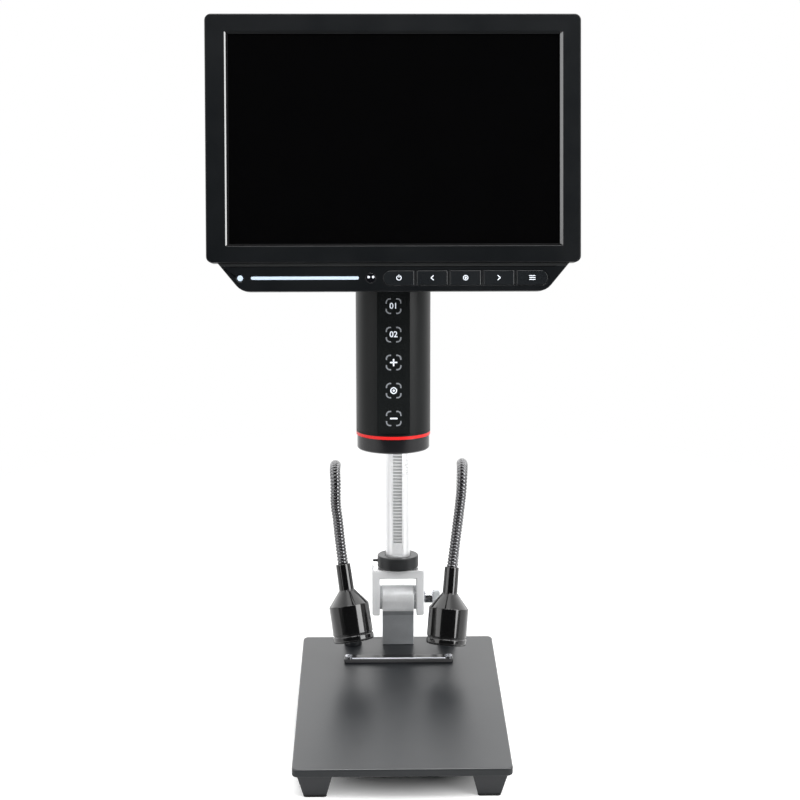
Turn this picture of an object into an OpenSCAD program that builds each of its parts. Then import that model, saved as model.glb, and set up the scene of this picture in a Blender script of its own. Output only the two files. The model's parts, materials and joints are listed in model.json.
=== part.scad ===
// Digital microscope with a 10.1 inch screen. A lens barrel and the screen ride on a leaning
// rack column above a stage plate, with two gooseneck lamps beside the column.
// Millimetres, Z up. The origin is on the ground under the middle of the stage plate.
// The user sits on the -Y side, and +X is at the user's right.

/* [Base] */
// Width of the stage plate
plate_w = 150; // [140:1:180]
// Depth of the stage plate
plate_d = 202; // [196:1:230]
// Thickness of the stage plate
plate_t = 6; // [5:0.5:9]
// Corner radius of the stage plate
plate_r = 4; // [2:0.5:10]
// Width of a foot where it meets the plate
foot_w = 24.5; // [22:0.5:32]
// Width of a foot at its lower end
foot_end_w = 16; // [14:0.5:20]
// Height of a foot without its pad
foot_h = 18; // [14:0.5:22]
// Distance from the plate's edge to a foot
foot_inset = 3; // [2:0.5:8]
// Thickness of a foot pad
pad_t = 1.5; // [1:0.25:3]
// Length of the slide stop bar
stop_w = 84; // [70:1:110]
// Depth of the slide stop bar
stop_d = 9; // [8:0.5:14]
// Thickness of the slide stop bar
stop_t = 3; // [2:0.5:5]
// Distance from the middle of the plate to the front of the stop bar
stop_y = 54.5; // [45:0.5:58]

/* [Tilt joint] */
// Width of the post and its knuckle
post_w = 24.5; // [22:0.5:28]
// Depth of the post below the knuckle
post_d = 15; // [13:0.5:18]
// Diameter of the knuckle
knuckle_d = 20; // [19.5:0.5:23]
// Depth of the knuckle's straight part below the tilt axis
knuckle_low = 5; // [1:0.5:7]
// Height of the tilt axis above the stage plate
pivot_h = 37.5; // [34.5:0.5:44]
// Diameter of the tilt bolt
pivot_d = 10; // [8:0.5:11]
// Gap between the knuckle and a fork leg, which a washer fills
fork_gap = 2; // [1.5:0.25:3]
// Thickness of a fork leg
fork_leg = 6; // [5:0.5:9]
// Thickness of the fork's crossbar
fork_bar = 7; // [6:0.5:10]
// Depth of the fork
fork_d = 21; // [20.5:0.5:24]
// Distance from the tilt axis to the top of the fork
fork_rise = 24.5; // [22.5:0.5:29.5]
// Distance from the tilt axis to the ends of the fork legs
fork_drop = 12; // [10:0.5:13]
// Diameter of the clamp lever's hub
hub_d = 9.5; // [8.5:0.5:11]
// Length of the clamp lever's handle
lever_len = 42; // [30:1:50]

/* [Column] */
// Backward lean of the column in degrees
column_lean = 8; // [2:0.5:10]
// Angle of the column and its arm about the column's axis in degrees
arm_turn = 2.6; // [0:0.1:5]
// Diameter of the column rod
column_d = 19; // [18.5:0.5:20]
// Height of the column rod's top end above the tilt axis
column_top = 347.5; // [342.5:1:380.5]
// Depth of the column rod's seat in the fork
column_seat = 5; // [3:0.5:5]
// Module of the rack's teeth
rack_module = 0.8; // [0.7:0.05:0.85]
// Width of the rack bar
rack_w = 6.8; // [6:0.1:7]
// Height of the rack's first tooth above the tilt axis
rack_start = 44.5; // [41.5:1:77.5]
// Outer diameter of the stop collar
collar_d = 32; // [28:0.5:40]
// Height of the stop collar
collar_h = 10; // [8:0.5:15]

/* [Focus carriage] */
// Width of the carriage
carriage_w = 40; // [36:1:48]
// Height of the carriage
carriage_h = 70; // [64:1:78]
// Height of the pinion above the tilt axis
pinion_s = 272.5; // [269.5:1:277.5]
// Number of teeth on the pinion
pinion_teeth = 18; // [17:1:19]
// Diameter of the focus shaft
shaft_d = 8; // [6:0.5:8.5]
// Diameter of a focus knob
knob_d = 36; // [30:1:44]
// Length of a focus knob
knob_len = 22; // [16:1:26]

/* [Barrel] */
// Distance from the column's axis to the barrel's axis
reach = 105; // [100:1:112]
// Outer diameter of the barrel
barrel_d = 52; // [50:0.5:56]
// Wall thickness of the barrel
barrel_wall = 4; // [3.5:0.25:5]
// Height of the barrel's lower end above the tilt axis
barrel_s = 141; // [132.5:0.5:152.5]
// Length of the nose ring that shows
nose_h = 10.2; // [8:0.2:14]
// Height of the coloured ring
ring_h = 3.2; // [2:0.2:5]
// Width of the touch panel
panel_w = 22; // [18:0.5:23]
// Thickness of the touch panel
panel_t = 0.8; // [0.6:0.1:1]
// Diameter of the barrel's neck
neck_d = 40; // [34:0.5:42]
// Height of the arm's ring round the neck
arm_ring_h = 24; // [20:0.5:26]
// Diameter of the objective lens
lens_d = 34; // [28:0.5:36]

/* [Display] */
// Width of the screen opening
screen_w = 219; // [210:0.5:224]
// Height of the screen opening
screen_h = 138; // [132:0.5:142]
// Width of the frame beside the screen opening
border_w = 14.7; // [13:0.1:18]
// Height of the frame above and below the screen opening
border_h = 12.8; // [11.5:0.1:16]
// Width of the bevel round the screen opening
bevel_w = 2.4; // [1:0.2:4]
// Corner radius of the display's frame
display_r = 4.3; // [2:0.1:8]
// Backward lean of the display against the barrel in degrees
display_lean = 7.65; // [4:0.05:12]
// Depth of the front frame
frame_d = 8; // [7.5:0.5:9]
// Depth of the rear cover's shallow part
cover_d = 6.4; // [5.5:0.2:6.6]
// Depth of the housing's raised part behind the shallow part
hump_d = 8; // [6:0.5:12]
// Height of the button bar below the frame
chin_h = 19; // [17:0.5:24]
// Distance from the display's face back to its tilt axis
hinge_back = 43.4; // [42:0.2:48]
// Distance from the middle of the display's face down to its tilt axis
hinge_below = 51.2; // [48:0.2:54]
// Height of the display's tilt axis above the column's tilt axis
hinge_s = 299.5; // [297.5:0.5:303.5]
// Diameter of the display's hinge pin
hinge_d = 6; // [4:0.5:7]
// Wall thickness of the display's housing
shell_t = 2; // [1.5:0.1:2.2]

/* [Buttons] */
// Distance from one button to the next
button_pitch = 22.15; // [21.8:0.05:22.4]
// Width of a button
button_w = 20.6; // [16:0.1:20.6]
// Height of a button
button_h = 9.6; // [7:0.1:10]
// Travel of a button
button_travel = 0.8; // [0.4:0.1:1]

/* [Lamps] */
// Diameter of a gooseneck tube
tube_d = 8; // [7:0.5:8.5]
// Diameter of a lamp's body
lamp_d = 30; // [27:0.5:33]
// Height of a lamp's body
lamp_h = 22.5; // [20:0.5:28]
// Height of the cone between a lamp's neck and body
cone_h = 11; // [8:0.5:14]
// Diameter of a lamp's neck
lamp_neck_d = 11.4; // [11:0.1:12.5]
// Length of a lamp's neck
lamp_neck_h = 20; // [16:0.5:24]
// Height of a lamp's lens ring
lens_ring_h = 4.8; // [2:0.2:5]
// Thickness of a lamp's lens
lamp_lens_t = 1; // [0.8:0.2:3]
// Forward tilt of a lamp in degrees
lamp_lean = 21; // [10:0.5:24]
// Inward tilt of the left lamp in degrees
left_roll = 8.8; // [0:0.2:14]
// Inward tilt of the right lamp in degrees
right_roll = 5.2; // [0:0.2:14]
// Outer diameter of a gooseneck's socket
socket_d = 14; // [12:0.5:16]
// Height of a gooseneck's socket
socket_h = 10; // [9:0.5:12]

/* [Fits] */
// Radial running clearance of a shaft, pin or slide
run_fit = 0.05; // [0.02:0.01:0.1]
// Gap between faces that pass each other
face_gap = 0.3; // [0.2:0.05:0.4]
// Gap round a button in its window
button_gap = 0.2; // [0.15:0.05:0.3]
// Gap between the balls and cups of a gooseneck
ball_gap = 0.4; // [0.3:0.05:0.5]

/* [Hidden] */
$fn = 48;

// Heights and places on the base
plate_top = foot_h + pad_t + plate_t;
plate_low = foot_h + pad_t;
pivot_y = plate_d / 2 - post_d / 2;
pivot_z = plate_top + pivot_h;
foot_x = plate_w / 2 - foot_inset - foot_w / 2;
foot_y = plate_d / 2 - foot_inset - foot_w / 2;
foot_screw_d = 4;
foot_head_d = 8;
foot_head_h = 3.5;
foot_screw_bite = 4;
post_screw_d = 4;
post_screw_x = 7;
post_screw_bite = 12;
stop_screw_d = 3;
stop_head_d = 5.6;
stop_head_h = 1.2;
stop_screw_x = stop_w / 2 - 3.6;
box_w = 60;
box_d = 26;
box_h = 10;
box_wall = 1.6;
box_y = plate_d / 2 - 32;
jack_w = 9;
jack_h = 3.4;

// Fork, tilt bolt and clamp
fork_in = post_w / 2 + fork_gap;
fork_out = fork_in + fork_leg;
washer_d = 19;
washer_t = fork_gap - 0.1;
bolt_head_d = 16;
bolt_head_h = 4;
bolt_end_d = 6;
bolt_hex = 8;
bolt_hex_h = 2.5;
hub_len = 6.8;
boss_w = 16;
boss_t = 5.4;
boss_r = 2.5;
handle_d = 5.2;
handle_drop = 18;

// Column and rack
column_foot = fork_rise - column_seat;
column_screw_d = 4;
column_screw_s = fork_rise - column_seat / 2;
column_screw_bite = 1.2;
column_screw_sunk = 0.6;
slot_start = fork_rise + face_gap + collar_h + 1;
slot_floor = column_d / 2 - 5.3;
rack_tip = sqrt(pow(column_d / 2, 2) - pow(rack_w / 2, 2)) - 0.07;
rack_pitch = PI * rack_module;
rack_pitch_y = rack_tip - rack_module;
rack_end = column_top - 5;
cap_d = column_d + 4;
cap_h = 6;
cap_peg_d = 7;
cap_peg_h = 8;
collar_s = fork_rise + face_gap;
collar_screw_d = 2;
collar_screw_out = 3.6;

// Carriage, pinion and arm
pressure = 20;
pinion_r = rack_module * pinion_teeth / 2;
pinion_y = rack_pitch_y + pinion_r;
pinion_tip = pinion_r + rack_module - 0.05;
pinion_root = pinion_r - 1.25 * rack_module;
pinion_base = pinion_r * cos(pressure);
pinion_w = rack_w - 0.8;
tooth_w = rack_pitch / 2 - 0.1;
carriage_s = pinion_s - carriage_h / 2;
bush_d = column_d + 6;
bush_h = 18;
pocket_r = pinion_tip + 0.8;
pocket_w = pinion_w + 2;
carriage_front = pinion_y + pocket_r + 6;
carriage_back = bush_d / 2 + 3.5;
flange_t = 6;
flange_w = 36;
flange_h = 50;
arm_w = 22;
arm_h = 20;
arm_low = 15;
arm_s = pinion_s - arm_low;
arm_screw_d = 4;
arm_head_d = 7;
arm_head_h = 4;
arm_screw_bite = 5;
arm_screw_x = 13.5;
arm_screw_z = flange_h / 2 - 4.5;
knob_x = carriage_w / 2 + 2;
tension_d = 5;

// Barrel: heights along the barrel, measured from the tilt axis
barrel_r = barrel_d / 2;
bore_r = barrel_r - barrel_wall;
nose_r = barrel_r - 0.6;
ring_s = barrel_s + nose_h;
shell_s = ring_s + ring_h;
neck_s = 255.5;
arm_ring_s = neck_s + face_gap;
arm_ring_top = arm_ring_s + arm_ring_h;
yoke_s = arm_ring_top + face_gap;
yoke_t = 4.4;
neck_plug = 8;
cable_r = 12;
panel_seat = sqrt(pow(barrel_r, 2) - pow(panel_w / 2, 2)) - panel_t;
nose_plug = 6;
nose_lip = 3;
lens_r = lens_d / 2;
lens_t = 4;
lens_bulge = 1.5;
sensor_s = 222.5;
board_t = 1.6;
optic_r = 13;
optic_len = 46;
chip_w = 20;
chip_t = 3;
ear_w = 6;
lug_w = 31.4;
ear_x = lug_w / 2 + face_gap;
lug_r = hinge_d / 2 + 4;

// Display: y runs from the face into the housing, z up the face from its middle
display_w = screen_w + 2 * border_w;
display_h = screen_h + 2 * border_h;
cover_back = frame_d + cover_d;
hump_back = cover_back + hump_d;
hump_side = 29.2;
hump_over = 6.8;
hump_under = 56.8;
hump_w = display_w - 2 * hump_side;
hump_h = display_h - hump_over - hump_under;
hump_z = (hump_under - hump_over) / 2;
vent_count = 15;
vent_pitch = 6;
vent_w = 2;
vent_h = 22;
vent_z = hump_z + 24;
hump_slope = 5;
lip_t = 2.2;
bevel_d = 1.2;
screen_z = -0.3;
screen_x = 0.5;
screw_tip = lip_t + 1.4;
bevel_h = 0.7 * bevel_w;
post_in = 4.8;
post_x = display_w / 2 - post_in;
post_z = display_h / 2 - 21.8;
cover_screw_d = 3;
cover_head_d = 6;
cover_head_h = 1.6;
lcd_w = 2 * (post_x - cover_head_d / 2 - 1.4);
lcd_h = screen_h + border_h;
lcd_t = 5.4;
chin_top = -display_h / 2;
chin_low = chin_top - chin_h;
chin_set = 2;
chin_d = frame_d + 3;
chin_flat = display_w / 2 - 28.2;
chin_r = 11;
chin_slant = 39.6;
button_z = chin_top - 10.1;
button_proud = 0.3;
flange_out = 0.5;
button_end = 6.2;
button_x = chin_flat + button_end - 4 * button_pitch - button_w;
dot_x = -chin_flat - 5.8;
dot_d = 4.4;
ir_x = button_x - 8.3;
ir_d = 6.6;
bar_x = [dot_x + 6.8, ir_x - 7.7];
bar_h = 2.7;
light_z = chin_top - 10.1;
bracket_w = 64;
bracket_z = [-hinge_below - 7.8, -hinge_below + 24.2];
bracket_t = 3;
bracket_screw_x = 24;
main_board = [120, 66];
main_board_y = cover_back + 1.4;
button_board_y = frame_d + 1.4;
button_board_x = [dot_x - 1.4, chin_flat + 6];
button_board_z = [chin_top - 12.8, chin_top - 2.2];
rib_x = chin_flat + 2;
port_z = [-28, -10, 6];
port_w = [7.4, 9.2, 12];
port_t = [3.2, 3.2, 2.2];
port_in = 8;
port_y = frame_d + cover_d / 2 - 0.8;

// Gooseneck routes: from the root ball up to the crown, and from the crown down to the lamp.
// x and y are from the tilt axis, z is from the top of the stage plate.
left_rise_route = [
    [-35.5, -4, 8], [-37, -2, 22], [-39.5, 0.5, 40], [-42, 4, 60], [-45, 7, 80],
    [-47, 10, 100], [-48.5, 12, 120], [-48.5, 12.5, 136.5], [-48.5, 10, 145.5],
    [-48, 4, 151.5], [-48, -4.5, 153.5]
];
left_drop_route = [
    [-48, -4.5, 153.5], [-48, -13, 151.5], [-47.5, -19, 145.5], [-47.5, -21.5, 136.5],
    [-47.5, -22, 125], [-46, -24, 112.5], [-44.5, -28.5, 98.5], [-42.3, -35.2, 81.5]
];
right_rise_route = [
    [38.5, -4, 8], [39, -2, 22], [40.5, 0.5, 40], [43, 4, 60], [45, 7, 80],
    [47.5, 10, 100], [49, 12, 120], [49.5, 12.5, 136.5], [49.5, 10, 145.5],
    [49, 4, 151.5], [49, -4.5, 153.5]
];
right_drop_route = [
    [49, -4.5, 153.5], [48.5, -13, 151.5], [48, -19, 145.5], [47.5, -21.5, 136.5],
    [46.5, -22, 125], [45, -24, 112], [43, -28.5, 97], [40.3, -35.2, 78.5]
];
tube_r = tube_d / 2;
cup_r = tube_r + ball_gap;
tube_sides = 12;
tube_steps = 3;
root_h = left_rise_route[0][2];
mouth_r = cup_r + 0.5;
wire_r = 2;
shoulder_d = lamp_neck_d + 1.4;
lamp_wall = 2;
led_t = 1.6;
led_z = -lamp_neck_h - cone_h - 8;
led_dome_r = 4;

// ---- Shared shapes ----

module mirror_x() {
    children();
    mirror([1, 0, 0]) children();
}

// Flat plate with round corners, standing on z = 0
module slab(w, d, h, r) {
    linear_extrude(h) union() {
        square([w - 2 * r, d], center = true);
        square([w, d - 2 * r], center = true);
        for (x = [-1, 1], y = [-1, 1]) translate([x * (w / 2 - r), y * (d / 2 - r)]) circle(r);
    }
}

// Block that narrows evenly from w0 x d0 at z = 0 to w1 x d1 at z = h
module taper_block(w0, d0, w1, d1, h) {
    intersection() {
        translate([0, max(d0, d1), 0]) rotate([90, 0, 0]) linear_extrude(2 * max(d0, d1))
            polygon([[-w0 / 2, 0], [w0 / 2, 0], [w1 / 2, h], [-w1 / 2, h]]);
        translate([-max(w0, w1), 0, 0]) rotate([90, 0, 90]) linear_extrude(2 * max(w0, w1))
            polygon([[-d0 / 2, 0], [d0 / 2, 0], [d1 / 2, h], [-d1 / 2, h]]);
    }
}

// Copies at the four corners of a rectangle 2x wide and 2z high, on a face that looks along Y
module corners(x, z) {
    for (i = [-1, 1], k = [-1, 1]) translate([i * x, 0, k * z]) children();
}

// Cylinder along X, centred on its length
module rod_x(d, len) { rotate([0, 90, 0]) cylinder(d = d, h = len, center = true); }

// Cylinder along +Y from y = 0
module rod_y(d, len) { rotate([-90, 0, 0]) cylinder(d = d, h = len); }

// Block between x0..x1, y0..y1 and z0..z1
module block(x, y, z) {
    translate([x[0], y[0], z[0]]) cube([x[1] - x[0], y[1] - y[0], z[1] - z[0]]);
}

// ---- Frames that pieces are built in ----

// Origin on the tilt axis, z up the column and -y towards the user
module on_column() {
    translate([0, pivot_y, pivot_z]) rotate([-column_lean, 0, 0]) rotate([0, 0, -arm_turn])
        children();
}

// As on_column, but on the barrel's axis and squared up to the base
module on_barrel() {
    on_column() translate([0, -reach, 0]) rotate([0, 0, arm_turn]) children();
}

// Origin in the middle of the display's face, z up the face and y into the housing
module on_display() {
    on_barrel() translate([0, 0, hinge_s]) rotate([-display_lean, 0, 0])
        translate([0, -hinge_back, hinge_below]) children();
}

// The tilt joint's own frame, without the column's turn
module on_fork() {
    translate([0, pivot_y, pivot_z]) rotate([-column_lean, 0, 0]) children();
}

// ---- Base ----

module foot_places() {
    for (x = [-1, 1], y = [-1, 1]) translate([x * foot_x, y * foot_y, 0]) children();
}

module base_plate() {
    color("#55585b") difference() {
        translate([0, 0, plate_low]) slab(plate_w, plate_d, plate_t, plate_r);
        foot_places() translate([0, 0, plate_low - 1]) cylinder(d = foot_screw_d, h = foot_screw_bite + 1);
        for (x = [-1, 1]) {
            translate([x * post_screw_x, pivot_y, plate_low - 1]) {
                cylinder(d = post_screw_d, h = plate_t + 2);
                cylinder(d = foot_head_d, h = foot_head_h + 1);
            }
            translate([x * stop_screw_x, stop_y + stop_d / 2, plate_top - 4])
                cylinder(d = stop_screw_d, h = 5);
        }
        for (route = [left_rise_route, right_rise_route])
            translate([route[0][0], pivot_y + route[0][1], plate_low - 1])
                cylinder(r = wire_r, h = plate_t + 2);
    }
}

module base_feet() {
    color("#3a3c3d") foot_places() translate([0, 0, pad_t]) difference() {
        taper_block(foot_end_w, foot_end_w, foot_w, foot_w, foot_h);
        translate([0, 0, -1]) cylinder(d = foot_screw_d, h = foot_h + 2);
        translate([0, 0, -1]) cylinder(d = foot_head_d, h = foot_head_h + 1);
    }
}

module foot_pads() {
    color("#161616") foot_places() slab(foot_end_w, foot_end_w, pad_t, 2);
}

module base_screws() {
    color("#c9ccd0") {
        foot_places() translate([0, 0, pad_t]) {
            cylinder(d = foot_head_d, h = foot_head_h);
            cylinder(d = foot_screw_d, h = foot_h + foot_screw_bite);
        }
        for (x = [-1, 1]) {
            translate([x * post_screw_x, pivot_y, plate_low]) {
                cylinder(d = foot_head_d, h = foot_head_h);
                cylinder(d = post_screw_d, h = plate_t + post_screw_bite);
            }
            translate([x * stop_screw_x, stop_y + stop_d / 2, plate_top]) {
                translate([0, 0, -4]) cylinder(d = stop_screw_d, h = stop_t + 4);
                translate([0, 0, stop_t]) difference() {
                    cylinder(d = stop_head_d, h = stop_head_h);
                    translate([0, 0, 0.8]) cylinder(d = 2.6, h = 2, $fn = 6);
                }
            }
        }
    }
}

module tilt_post() {
    color("#7b7e82") difference() {
        union() {
            block([-post_w / 2, post_w / 2], [pivot_y - post_d / 2, pivot_y + post_d / 2],
                [plate_top, pivot_z]);
            for (z = [pivot_z - knuckle_low, pivot_z])
                translate([0, pivot_y, z]) rod_x(knuckle_d, post_w);
            block([-post_w / 2, post_w / 2], [pivot_y - knuckle_d / 2, pivot_y + knuckle_d / 2],
                [pivot_z - knuckle_low, pivot_z]);
        }
        translate([0, pivot_y, pivot_z]) rod_x(pivot_d + 2 * run_fit, post_w + 2);
        for (x = [-1, 1]) translate([x * post_screw_x, pivot_y, plate_top - 1])
            cylinder(d = post_screw_d, h = post_screw_bite + 1);
    }
}

module stop_bar() {
    color("#101112") difference() {
        translate([0, stop_y + stop_d / 2, plate_top]) slab(stop_w, stop_d, stop_t, 1.5);
        for (x = [-1, 1]) translate([x * stop_screw_x, stop_y + stop_d / 2, plate_top - 1])
            cylinder(d = stop_screw_d, h = stop_t + 2);
    }
}

module socket(route) {
    translate([route[0][0], pivot_y + route[0][1], plate_top]) difference() {
        union() {
            cylinder(d = socket_d, h = socket_h - 4);
            cylinder(d = socket_d - 2.4, h = socket_h);
        }
        translate([0, 0, root_h]) sphere(r = cup_r);
        translate([0, 0, root_h]) cylinder(r = mouth_r, h = socket_h);
        translate([0, 0, -1]) cylinder(r = wire_r, h = socket_h);
    }
}

module lamp_sockets() {
    color("#1a1b1c") {
        socket(left_rise_route);
        socket(right_rise_route);
    }
}

module lamp_junction_box() {
    color("#232425") difference() {
        translate([0, box_y, plate_low - box_h]) slab(box_w, box_d, box_h, 2);
        translate([0, box_y, plate_low - box_h + box_wall])
            slab(box_w - 2 * box_wall, box_d - 2 * box_wall, box_h, 1);
        translate([0, box_y + box_d / 2, plate_low - box_h + 4.6])
            cube([jack_w, 4 * box_wall, jack_h], center = true);
    }
}

// ---- Tilt joint and column ----

// Fork seen from the front: x across, y along the column
module fork_outline() {
    r = 2;
    difference() {
        union() {
            translate([-fork_out, -fork_drop + r]) square([2 * fork_out, fork_rise + fork_drop - 2 * r]);
            translate([-fork_out + r, -fork_drop]) square([2 * (fork_out - r), fork_rise + fork_drop]);
            for (x = [-1, 1]) {
                translate([x * (fork_out - r), fork_rise - r]) circle(r);
                translate([x * (fork_out - r), -fork_drop + r]) circle(r);
            }
        }
        translate([-fork_in, -fork_drop - 1]) square([2 * fork_in, fork_rise - fork_bar + fork_drop + 1]);
    }
}

module column_fork() {
    color("#b9bbbe") on_fork() difference() {
        translate([0, fork_d / 2, 0]) rotate([90, 0, 0]) linear_extrude(fork_d) fork_outline();
        rod_x(pivot_d, 2 * fork_out + 2);
        translate([-fork_out, 0, 0]) rod_x(bolt_head_d, 2 * bolt_head_h);
        translate([0, 0, column_foot]) cylinder(d = column_d, h = column_seat + 1);
        translate([-fork_out, 0, column_screw_s])
            rod_x(column_screw_d, 2 * (fork_out - column_d / 2) + 2);
    }
}

module fork_washers() {
    color("#1c1c1d") on_fork() mirror_x() translate([fork_in - washer_t / 2, 0, 0]) difference() {
        rod_x(washer_d, washer_t);
        rod_x(pivot_d, washer_t + 1);
    }
}

module pivot_bolt() {
    end_x = fork_out + face_gap + hub_len + boss_t;
    color("#c9ccd0") on_fork() difference() {
        union() {
            translate([-fork_out + bolt_head_h / 2, 0, 0]) rod_x(bolt_head_d, bolt_head_h);
            rod_x(pivot_d, 2 * fork_out - 2);
            translate([end_x / 2, 0, 0]) rod_x(bolt_end_d, end_x);
            translate([fork_out / 2, 0, 0]) rod_x(pivot_d, fork_out);
        }
        translate([-fork_out, 0, 0]) rotate([0, 90, 0])
            cylinder(d = bolt_hex, h = 2 * bolt_hex_h, center = true, $fn = 6);
    }
}

module clamp_lever() {
    hub_x = fork_out + face_gap;
    boss_x = hub_x + hub_len;
    color("#c4c8ce") on_fork() difference() {
        union() {
            translate([hub_x + hub_len / 2, 0, 0]) rod_x(hub_d, hub_len);
            translate([boss_x, 0, 0]) rotate([90, 0, 90]) slab(boss_w, boss_w, boss_t, boss_r);
            translate([boss_x + boss_t / 2, 0, 0]) rotate([-90 - handle_drop, 0, 0]) {
                cylinder(d = handle_d, h = lever_len);
                translate([0, 0, lever_len]) sphere(d = handle_d);
            }
        }
        translate([boss_x, 0, 0]) rod_x(bolt_end_d + 2 * run_fit, 2 * (hub_len + boss_t));
    }
}

// Rack seen from the side: x is the depth into the rod, y runs up the rod
function rack_teeth_outline() = let (
    slope = rack_module * tan(pressure),
    root = rack_pitch_y - 1.25 * rack_module,
    root_slope = 1.25 * slope,
    first = ceil((rack_start - pinion_s) / rack_pitch),
    last = floor((rack_end - pinion_s) / rack_pitch) - 1
) [
    for (k = [first : last]) let (s = pinion_s + (k + 0.5) * rack_pitch) each [
        [root, s - tooth_w / 2 - root_slope], [rack_tip, s - tooth_w / 2 + slope],
        [rack_tip, s + tooth_w / 2 - slope], [root, s + tooth_w / 2 + root_slope]
    ]
];

module column_rack() {
    teeth = rack_teeth_outline();
    count = len(teeth);
    land_s = teeth[0][1] - 0.6;
    foot = [[slot_floor, slot_start], [rack_tip, slot_start], [rack_tip, land_s], [teeth[0][0], land_s]];
    top = [[teeth[count - 1][0], column_top], [slot_floor, column_top]];
    color("#bfc2c5") on_column() translate([rack_w / 2, 0, 0]) rotate([90, 0, -90])
        linear_extrude(rack_w) polygon(concat(foot, teeth, top));
}

module column_rod() {
    color("#dfe1e3") on_column() difference() {
        translate([0, 0, column_foot]) cylinder(d = column_d, h = column_top - column_foot);
        block([-rack_w / 2, rack_w / 2], [-column_d, -slot_floor], [slot_start, column_top + 1]);
        rotate([0, 0, arm_turn]) translate([-column_d / 2, 0, column_screw_s])
            rod_x(column_screw_d, 2 * column_screw_bite);
        translate([0, 0, column_top - cap_peg_h]) cylinder(d = cap_peg_d, h = cap_peg_h + 1);
    }
}

module column_screw() {
    start = -fork_out + column_screw_sunk;
    end = column_screw_bite - column_d / 2;
    color("#9a9ea3") on_fork() difference() {
        translate([(start + end) / 2, 0, column_screw_s]) rod_x(column_screw_d, end - start);
        translate([start, 0, column_screw_s]) rotate([0, 90, 0])
            cylinder(d = 0.6 * column_screw_d, h = column_screw_d, center = true, $fn = 6);
    }
}

module column_cap() {
    color("#1d1e1f") on_column() translate([0, 0, column_top]) {
        rotate_extrude() polygon([
            [0, 0], [cap_d / 2, 0], [cap_d / 2, cap_h - 1], [cap_d / 2 - 1, cap_h], [0, cap_h]
        ]);
        translate([0, 0, -cap_peg_h]) cylinder(d = cap_peg_d, h = cap_peg_h);
    }
}

module stop_collar() {
    c = 1;
    inner = column_d / 2 + run_fit;
    outer = collar_d / 2;
    color("#2a2c2e") on_column() translate([0, 0, collar_s]) difference() {
        rotate_extrude() polygon([
            [inner, 0], [outer - c, 0], [outer, c], [outer, collar_h - 0.5], [outer - 0.5, collar_h],
            [inner + c, collar_h], [inner, collar_h - c]
        ]);
        translate([-outer, 0, collar_h / 2]) rod_x(collar_screw_d, collar_d - column_d);
    }
}

module collar_screw() {
    inner = column_d / 2 + run_fit;
    len = collar_d / 2 - inner + collar_screw_out;
    color("#3a3c3e") on_column() translate([-inner - len / 2, 0, collar_s + collar_h / 2])
        rod_x(collar_screw_d, len);
}

// ---- Focus carriage ----

module carriage_body() {
    color("#1b1c1d") on_column() difference() {
        block([-carriage_w / 2, carriage_w / 2], [-carriage_front, carriage_back],
            [carriage_s, carriage_s + carriage_h]);
        translate([0, 0, carriage_s - 1]) cylinder(d = bush_d, h = carriage_h + 2);
        block([-pocket_w / 2, pocket_w / 2], [-carriage_front - 1, 0],
            [pinion_s - pocket_r, pinion_s + pocket_r]);
        translate([0, -pinion_y, pinion_s]) rod_x(shaft_d + 2 * run_fit, carriage_w + 2);
        translate([0, -carriage_front - 1, pinion_s]) corners(arm_screw_x, arm_screw_z)
            rod_y(arm_screw_d, arm_screw_bite + 1);
        translate([0, bush_d / 2 - 1, pinion_s]) rod_y(tension_d, carriage_back);
    }
}

module carriage_bushes() {
    color("#a8874a") on_column() for (s = [carriage_s, carriage_s + carriage_h - bush_h])
        translate([0, 0, s]) difference() {
            cylinder(d = bush_d, h = bush_h);
            translate([0, 0, -1]) cylinder(d = column_d + 2 * run_fit, h = bush_h + 2);
        }
}

module head_arm() {
    color("#1b1c1d") on_column() difference() {
        union() {
            translate([0, -carriage_front, pinion_s]) rotate([90, 0, 0])
                slab(flange_w, flange_h, flange_t, 3);
            block([-arm_w / 2, arm_w / 2], [-reach, -carriage_front - flange_t], [arm_s, arm_s + arm_h]);
            translate([0, -reach, arm_ring_s]) cylinder(r = barrel_r, h = arm_ring_h);
        }
        translate([0, -reach, arm_ring_s - 1]) cylinder(d = neck_d + 2 * run_fit, h = arm_ring_h + 2);
        translate([0, -carriage_front - flange_t - 1, pinion_s]) corners(arm_screw_x, arm_screw_z)
            rod_y(arm_screw_d, flange_t + 2);
        translate([barrel_r, -reach, arm_ring_s + arm_ring_h / 2])
            rod_x(tension_d, 2 * (barrel_r - neck_d / 2) + 2);
    }
}

module carriage_screws() {
    ring_in = neck_d / 2 + 0.3;
    ring_out = barrel_r + 9;
    pad_in = column_d / 2 + 0.3;
    color("#8f9397") on_column() {
        translate([0, -carriage_front - flange_t, pinion_s]) corners(arm_screw_x, arm_screw_z) {
            rod_y(arm_screw_d, flange_t + arm_screw_bite);
            difference() {
                translate([0, -arm_head_h, 0]) rod_y(arm_head_d, arm_head_h);
                translate([0, -arm_head_h - 1, 0]) rotate([-90, 0, 0]) cylinder(d = 3.5, h = 3, $fn = 6);
            }
        }
        translate([0, pad_in, pinion_s]) rod_y(tension_d, carriage_back + 4 - pad_in);
        translate([0, carriage_back + 4, pinion_s]) rod_y(16, 7);
        translate([0, -reach, arm_ring_s + arm_ring_h / 2]) {
            translate([(ring_in + ring_out) / 2, 0, 0]) rod_x(tension_d, ring_out - ring_in);
            translate([ring_out, 0, 0]) rod_x(12, 6);
        }
    }
}

function involute(r) = let (a = acos(min(1, pinion_base / r))) tan(a) - a * PI / 180;
function half_tooth(r) =
    (tooth_w / 2 / pinion_r + involute(pinion_r) - involute(max(r, pinion_base))) * 180 / PI;

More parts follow.
